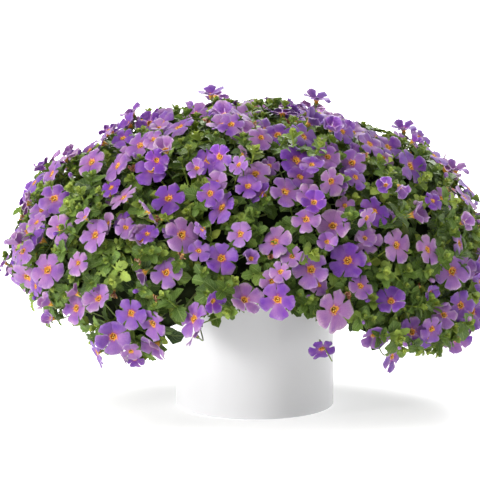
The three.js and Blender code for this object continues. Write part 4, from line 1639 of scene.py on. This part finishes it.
soilFinish = makeSoilFinish()
settle(showMesh("soil_bed", meshOf("soil_bed", makeSoil(), mm), soilFinish), "soil", "soil")
crumbDice = makeDice(soilShape["seed"])
crumbKinds = makeKinds("crumb_kind", crumb=[makeCrumb(crumbDice) for k in range(soilShape["crumbKinds"])])
crumbMarks = []
for k in range(soilShape["crumbs"]):
    r, angle = soilShape["crumbReach"] * math.sqrt(crumbDice()), anyAngle(crumbDice)
    turn = Euler([anyAngle(crumbDice) for axis in "XYZ"]).to_quaternion()
    share = crumbDice() ** soilShape["mostlySmall"]
    size = soilShape["smallest"] + (soilShape["largest"] - soilShape["smallest"]) * share
    at = onSoil((r * math.cos(angle), r * math.sin(angle)), size * soilShape["lift"])
    kind = int(soilShape["crumbKinds"] * crumbDice())
    crumbMarks.append({"at": at, "turn": turn, "size": size, "kind": kind, "tint": crumbDice()})
crumbSetting = (soilShape["setSeed"], soilShape["variation"])
settle(setOnPoints("soil_crumbs", crumbMarks, crumbKinds, soilFinish, *crumbSetting), "soil")
removeKinds(crumbKinds)

# Stage, light and camera

stageShape = {
    # the floor's glow is painted light: weaker near the pot, full far out
    "size": 60, "floor": (0.93, 0.93, 0.935), "glow": (0.46, 0.95), "glowReach": (0.1, 1.2), "world": 0.31,
}
lamps = [  # name, place, size, power, colour
    ("key_light", (-1.7, -2.1, 2.4), 2.0, 101, (1.0, 0.985, 0.96)),
    ("low_light", (-2.7, -1.3, 0.22), 0.6, 70, (1.0, 0.99, 0.98)),
    ("edge_light", (2.3, 0.9, 0.8), 0.8, 24, (1.0, 1.0, 1.0)),
    ("back_light", (0.4, 2.3, 2.2), 1.4, 125, (1.0, 1.0, 1.0)),
]
cameraShape = {"lens": 170, "elevation": 8, "width": 0.3624, "clip": (0.05, 100)}
target = Vector((-0.0112, 0, 0.1256))


def aim(holder, place):
    holder.location = place
    holder.rotation_euler = (target - Vector(place)).to_track_quat("-Z", "Y").to_euler()
    scene.collection.objects.link(holder)


bpy.ops.mesh.primitive_plane_add(size=stageShape["size"], location=(0, 0, 0))
floor = bpy.context.object
floor.name = "pale_floor"
floorFinish, tree, shader = startFinish("pale_floor", Roughness=0.9, Specular_IOR_Level=0.1)
shader.inputs["Base Color"].default_value = (*stageShape["floor"], 1)
shader.inputs["Emission Color"].default_value = (1, 1, 1, 1)
# Painted light: the floor glows, from 0.46 next to the pot to 0.95 from 1.2 m out, which keeps it white and
# lights the pot and plant from below
away = valueOf(tree, "ShaderNodeVectorMath", {0: objectPlace(tree)}, "Value", operation="LENGTH")
ends = (*stageShape["glowReach"], *stageShape["glow"])
limits = dict(zip(("From Min", "From Max", "To Min", "To Max"), ends))
glow = valueOf(tree, "ShaderNodeMapRange", {"Value": away, **limits}, interpolation_type="SMOOTHSTEP")
feed(shader, {"Emission Strength": glow})
floor.data.materials.append(floorFinish)

world = bpy.data.worlds.new("soft_studio")
scene.world = world
world.use_nodes = True
background = world.node_tree.nodes["Background"]
background.inputs[0].default_value = (1, 1, 1, 1)
background.inputs[1].default_value = stageShape["world"]

for name, place, size, power, colour in lamps:
    lamp = bpy.data.lights.new(name, "AREA")
    lamp.size, lamp.energy, lamp.color = size, power, colour
    aim(bpy.data.objects.new(name, lamp), place)

camera = bpy.data.cameras.new("camera")
camera.lens = cameraShape["lens"]
camera.clip_start, camera.clip_end = cameraShape["clip"]
distance = cameraShape["width"] / 2 / (camera.sensor_width / 2 / camera.lens)
tilt = math.radians(cameraShape["elevation"])
eye = bpy.data.objects.new("camera", camera)
aim(eye, target + Vector((0, -math.cos(tilt), math.sin(tilt))) * distance)
scene.camera = eye
scene.view_settings.view_transform = "Standard"
print("stage set")
